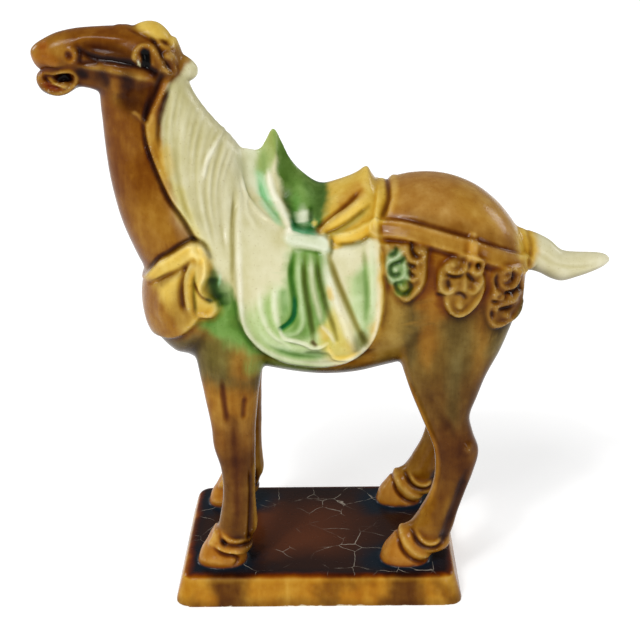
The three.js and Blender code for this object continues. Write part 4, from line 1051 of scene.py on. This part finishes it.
class Wire:
    # one socket of a material; adding or multiplying wires adds the Math nodes
    def __init__(self, tree, socket=None):
        self.tree = tree
        self.socket = socket

    def make(self, kind, settings=None, values=None, out=0):
        node = self.tree.nodes.new(kind)
        for name, value in (settings or {}).items():
            setattr(node, name, value)
        for name, value in (values or {}).items():
            if isinstance(value, Wire):
                self.tree.links.new(value.socket, node.inputs[name])
            else:
                node.inputs[name].default_value = value
        return Wire(self.tree, node.outputs[out])

    def math(self, operation, *others):
        return self.make("ShaderNodeMath", {"operation": operation}, dict(enumerate((self, *others))))

    def __add__(self, other):
        return self.math("ADD", other)

    __radd__ = __add__

    def __mul__(self, other):
        return self.math("MULTIPLY", other)

    __rmul__ = __mul__

    def __sub__(self, other):
        return self.math("SUBTRACT", other)

    def __rsub__(self, other):
        return self.make("ShaderNodeMath", {"operation": "SUBTRACT"}, {0: other, 1: self})

    def __truediv__(self, other):
        return self.math("DIVIDE", other)

    def step(self, name):
        # 0 on one side of a band and 1 on the other
        low, high = sorted(bands[name])
        rising = self.make(
            "ShaderNodeMapRange", {"interpolation_type": "SMOOTHSTEP"},
            {"Value": self, "From Min": low, "From Max": high},
        )
        return rising if bands[name] == (low, high) else 1 - rising

    def between(self, first, second, mode="MIX"):
        # the first colour where this wire is 0, the second where it is 1
        return self.make(
            "ShaderNodeMix", {"data_type": "RGBA", "blend_type": mode}, {0: self, 6: first, 7: second}, 2
        )

    def glazed(self, name, share):
        # this colour with a glaze laid over it
        return share.between(self, (*linear(glazes[name]), 1))

    def toned(self, name, share, mode="MIX"):
        return (share * tones[name][3]).between(self, (*tones[name][:3], 1), mode)


def makeGlaze():
    material = bpy.data.materials.new("sancaiGlaze")
    material.use_nodes = True
    tree = material.node_tree
    shader = tree.nodes["Principled BSDF"]
    start = Wire(tree)
    spot = start.make("ShaderNodeTexCoord", out="Object")
    parts = spot.make("ShaderNodeSeparateXYZ", values={0: spot})
    x, y, z = (Wire(tree, socket) * (1 / mm) for socket in parts.socket.node.outputs)
    awayX = x.math("ABSOLUTE")
    awayY = y.math("ABSOLUTE")
    painted = start.make("ShaderNodeAttribute", {"attribute_name": "glaze"}, out="Color")
    hollow = start.make("ShaderNodeAttribute", {"attribute_name": "hollow"}, out="Fac")
    crest = start.make("ShaderNodeAttribute", {"attribute_name": "crest"}, out="Fac")

    def cloud(name, source=spot):
        scale, detail = clouds[name]
        return spot.make("ShaderNodeTexNoise", values={"Vector": source, "Scale": scale, "Detail": detail})

    blotch = cloud("blotch")
    mottle = cloud("mottle")
    runs = cloud("runs", spot.make("ShaderNodeMapping", values={"Vector": spot, "Scale": finish["streak"]}))
    thick = coat["plain"] + hollow * coat["hollow"] - crest * coat["crest"]
    for name, wave in (("blotch", blotch), ("mottle", mottle), ("runs", runs)):
        thick = thick + (wave - 0.5) * coat[name]
    thick = thick.math("MAXIMUM", coat["thin"]).math("MINIMUM", coat["thick"])
    colour = painted.make("ShaderNodeGamma", values={0: painted, 1: thick})
    colour = colour.toned("fleck", cloud("fleck").step("fleck"), "MULTIPLY")
    wear = cloud("wear").step("wear") * crest.step("wearCrest") * blotch.step("wearBlotch")
    colour = colour.toned("worn", wear)

    # the top of the base: a dark brown pool that turns blue-black round the hooves and at the rim
    topHalves = (plinth[name] / 2 - plinth["taper"] for name in ("length", "width"))
    insetX, insetY = (half - away for half, away in zip(topHalves, (awayX, awayY)))
    inset = insetX.math("MINIMUM", insetY)
    wavy = inset + (blotch - 0.5) * base["edgeWander"]
    pools = None
    for centre in base["poolsAt"]:
        dx = (x - centre) / base["poolLong"]
        dy = (awayY - base["poolAside"]) / base["poolWide"]
        near = (dx * dx + dy * dy).math("SQRT")
        pools = near if pools is None else pools.math("MINIMUM", near)
    heart = (inset + blotch * base["heartWander"]).step("heartInset")
    heart = heart * (x + blotch * base["alongWander"]).step("heartAlong")
    dark = (heart * tones["poolHeart"][3]).between((*tones["pool"][:3], 1), (*tones["poolHeart"][:3], 1))
    dark = dark.toned("blue", (pools + blotch * base["poolWander"]).step("blue"))
    dark = dark.toned("rim", (inset + blotch * base["rimWander"]).step("rim"))
    bending = spot.make("ShaderNodeTexNoise", None, {"Vector": spot, "Scale": base["bendScale"]}, "Color")
    bent = spot.make("ShaderNodeMix", {"data_type": "VECTOR"}, {0: base["bend"], 4: spot, 5: bending}, 1)
    cells = spot.make(
        "ShaderNodeTexVoronoi", {"feature": "DISTANCE_TO_EDGE"},
        {"Vector": bent, "Scale": base["cellScale"]}, "Distance",
    )
    crackle = cells.step("crack") * cloud("crackled").step("crackled") * mottle.step("crackMottle")
    dark = dark.toned("crackle", crackle)

    # the sides of the base: amber, with the dark glaze run down over their upper edge
    height = z + mottle * base["heightWander"]
    amber, brown = ((*linear(glazes[name]), 1) for name in ("caramel", "leather"))
    side = (cloud("patches").step("patches") * base["patches"]).between(amber, brown)
    corner = (awayX + blotch * base["cornerWander"] - base["cornerAt"]).math("ABSOLUTE")
    side = side.glazed("leather", corner.step("corner") * base["corners"])
    side = side.glazed("honey", height.step("sideTop") * base["sideTop"])
    side = side.glazed("umber", (z + blotch * base["footWander"]).step("sideFoot") * base["sideFoot"])
    bare = (z + mottle * base["bareWander"]).step("bareFoot") * runs.step("bareRuns")
    side = side.glazed("bone", bare * base["bareFoot"])
    overflow = wavy.step("overflow") * z.step("overflowRise")
    side = side.make("ShaderNodeGamma", values={0: side, 1: thick + overflow * base["overflow"]})
    slab = z.step("slab")
    colour = slab.between(colour, (wavy.step("topEdge") * z.step("topFace")).between(side, dark))
    # the dark pool creeps up on the hooves
    colour = colour.toned("hoofPool", height.step("hoofTop") * z.step("hoofFoot"))
    tree.links.new(colour.socket, shader.inputs["Base Color"])

    rough = cloud("sheen") * finish["sheen"] + finish["roughness"]
    tree.links.new(rough.socket, shader.inputs["Roughness"])
    shader.inputs["Specular IOR Level"].default_value = finish["specular"]
    shader.inputs["Coat Weight"].default_value = finish["coat"]
    shader.inputs["Coat Roughness"].default_value = finish["coatRoughness"]
    skin = cloud("pinholes") * finish["pinholes"] + cloud("grain") * finish["grain"]
    skin = skin + crackle * slab * finish["crackle"]
    bump = start.make(
        "ShaderNodeBump",
        values={"Strength": finish["bump"], "Distance": finish["bumpDistance"], "Height": skin},
    )
    tree.links.new(bump.socket, shader.inputs["Normal"])
    return material


def makeHorse():
    mesh = applied(buildMasses(), "REMESH", mode="VOXEL", voxel_size=clay["voxel"])
    print("masses joined:", len(mesh.vertices), "places")
    edges = carve(mesh)
    markHollows(mesh, edges)
    print("hollows marked")
    triangles = sum(len(face.vertices) - 2 for face in mesh.polygons)
    mesh = applied(mesh, "DECIMATE", ratio=clay["triangles"] / triangles, use_collapse_triangulate=True)
    mesh.name = "glazed_horse"
    paint(mesh)
    mesh.transform(Matrix.Scale(mm, 4))
    mesh.shade_smooth()
    horse = bpy.data.objects.new("glazed_horse", mesh)
    bpy.context.scene.collection.objects.link(horse)
    horse.data.materials.append(makeGlaze())
    return horse


# Camera at the photograph's angle. Its picture is taken to be 640 by 634.
view = {
    "place": (0.0105, -0.5265, 0.3199), "down": 20.63, "left": 0.92, "roll": -0.96,
    "lens": 70.3, "sensor": 36, "nearest": 0.01,
}


def makeCamera():
    down, left, roll = (math.radians(view[name]) for name in ("down", "left", "roll"))
    ahead = Vector((-math.sin(left) * math.cos(down), math.cos(left) * math.cos(down), -math.sin(down)))
    right = Vector((math.cos(left), math.sin(left), 0))
    up = right.cross(ahead)
    turnedRight = right * math.cos(roll) + up * math.sin(roll)
    turnedUp = up * math.cos(roll) - right * math.sin(roll)
    data = bpy.data.cameras.new("camera")
    data.lens = view["lens"]
    data.sensor_width = view["sensor"]
    data.clip_start = view["nearest"]
    camera = bpy.data.objects.new("camera", data)
    camera.matrix_world = Matrix((turnedRight, turnedUp, -ahead)).transposed().to_4x4()
    camera.location = view["place"]
    bpy.context.scene.collection.objects.link(camera)
    bpy.context.scene.camera = camera


# Wide soft suns: where the light comes from, how wide it looks in degrees, strength.
suns = {
    "key": ((-0.5, -0.75, 1.0), 26, 1.6), "spark": ((-0.45, -0.8, 1.0), 5, 0.45),
    "front": ((0.7, -1.0, 0.35), 16, 0.5), "backLeft": ((-1.0, 0.7, 0.5), 20, 0.6),
    "backRight": ((1.0, 0.7, 0.5), 20, 0.6),
}
studio = {"surround": 0.28, "floorReach": 6, "floorShade": 0.6, "floorRoughness": 0.9, "floorGlow": 0.58}


def makeStudio():
    for name, (source, wide, strength) in suns.items():
        data = bpy.data.lights.new(name, "SUN")
        data.angle = math.radians(wide)
        data.energy = strength
        light = bpy.data.objects.new(name, data)
        light.rotation_euler = Vector(source).to_track_quat("Z", "Y").to_euler()
        bpy.context.scene.collection.objects.link(light)
    world = bpy.data.worlds.new("studio")
    world.use_nodes = True
    background = world.node_tree.nodes["Background"]
    background.inputs["Color"].default_value = (1, 1, 1, 1)
    background.inputs["Strength"].default_value = studio["surround"]
    bpy.context.scene.world = world

    bm = bmesh.new()
    bmesh.ops.create_grid(bm, x_segments=2, y_segments=2, size=studio["floorReach"])
    mesh = bpy.data.meshes.new("floor")
    bm.to_mesh(mesh)
    bm.free()
    floor = bpy.data.objects.new("floor", mesh)
    paper = bpy.data.materials.new("palePaper")
    paper.use_nodes = True
    sheet = paper.node_tree.nodes["Principled BSDF"].inputs
    sheet["Base Color"].default_value = (studio["floorShade"],) * 3 + (1,)
    sheet["Roughness"].default_value = studio["floorRoughness"]
    sheet["Emission Color"].default_value = (1, 1, 1, 1)
    sheet["Emission Strength"].default_value = studio["floorGlow"]
    floor.data.materials.append(paper)
    bpy.context.scene.collection.objects.link(floor)


makeCamera()
makeStudio()
bpy.context.scene.view_settings.view_transform = "Standard"
print("camera, lights and floor placed")
horse = makeHorse()
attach(horse, "root")
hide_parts("horse_on_base")
print("horse finished:", len(horse.data.polygons), "triangles")
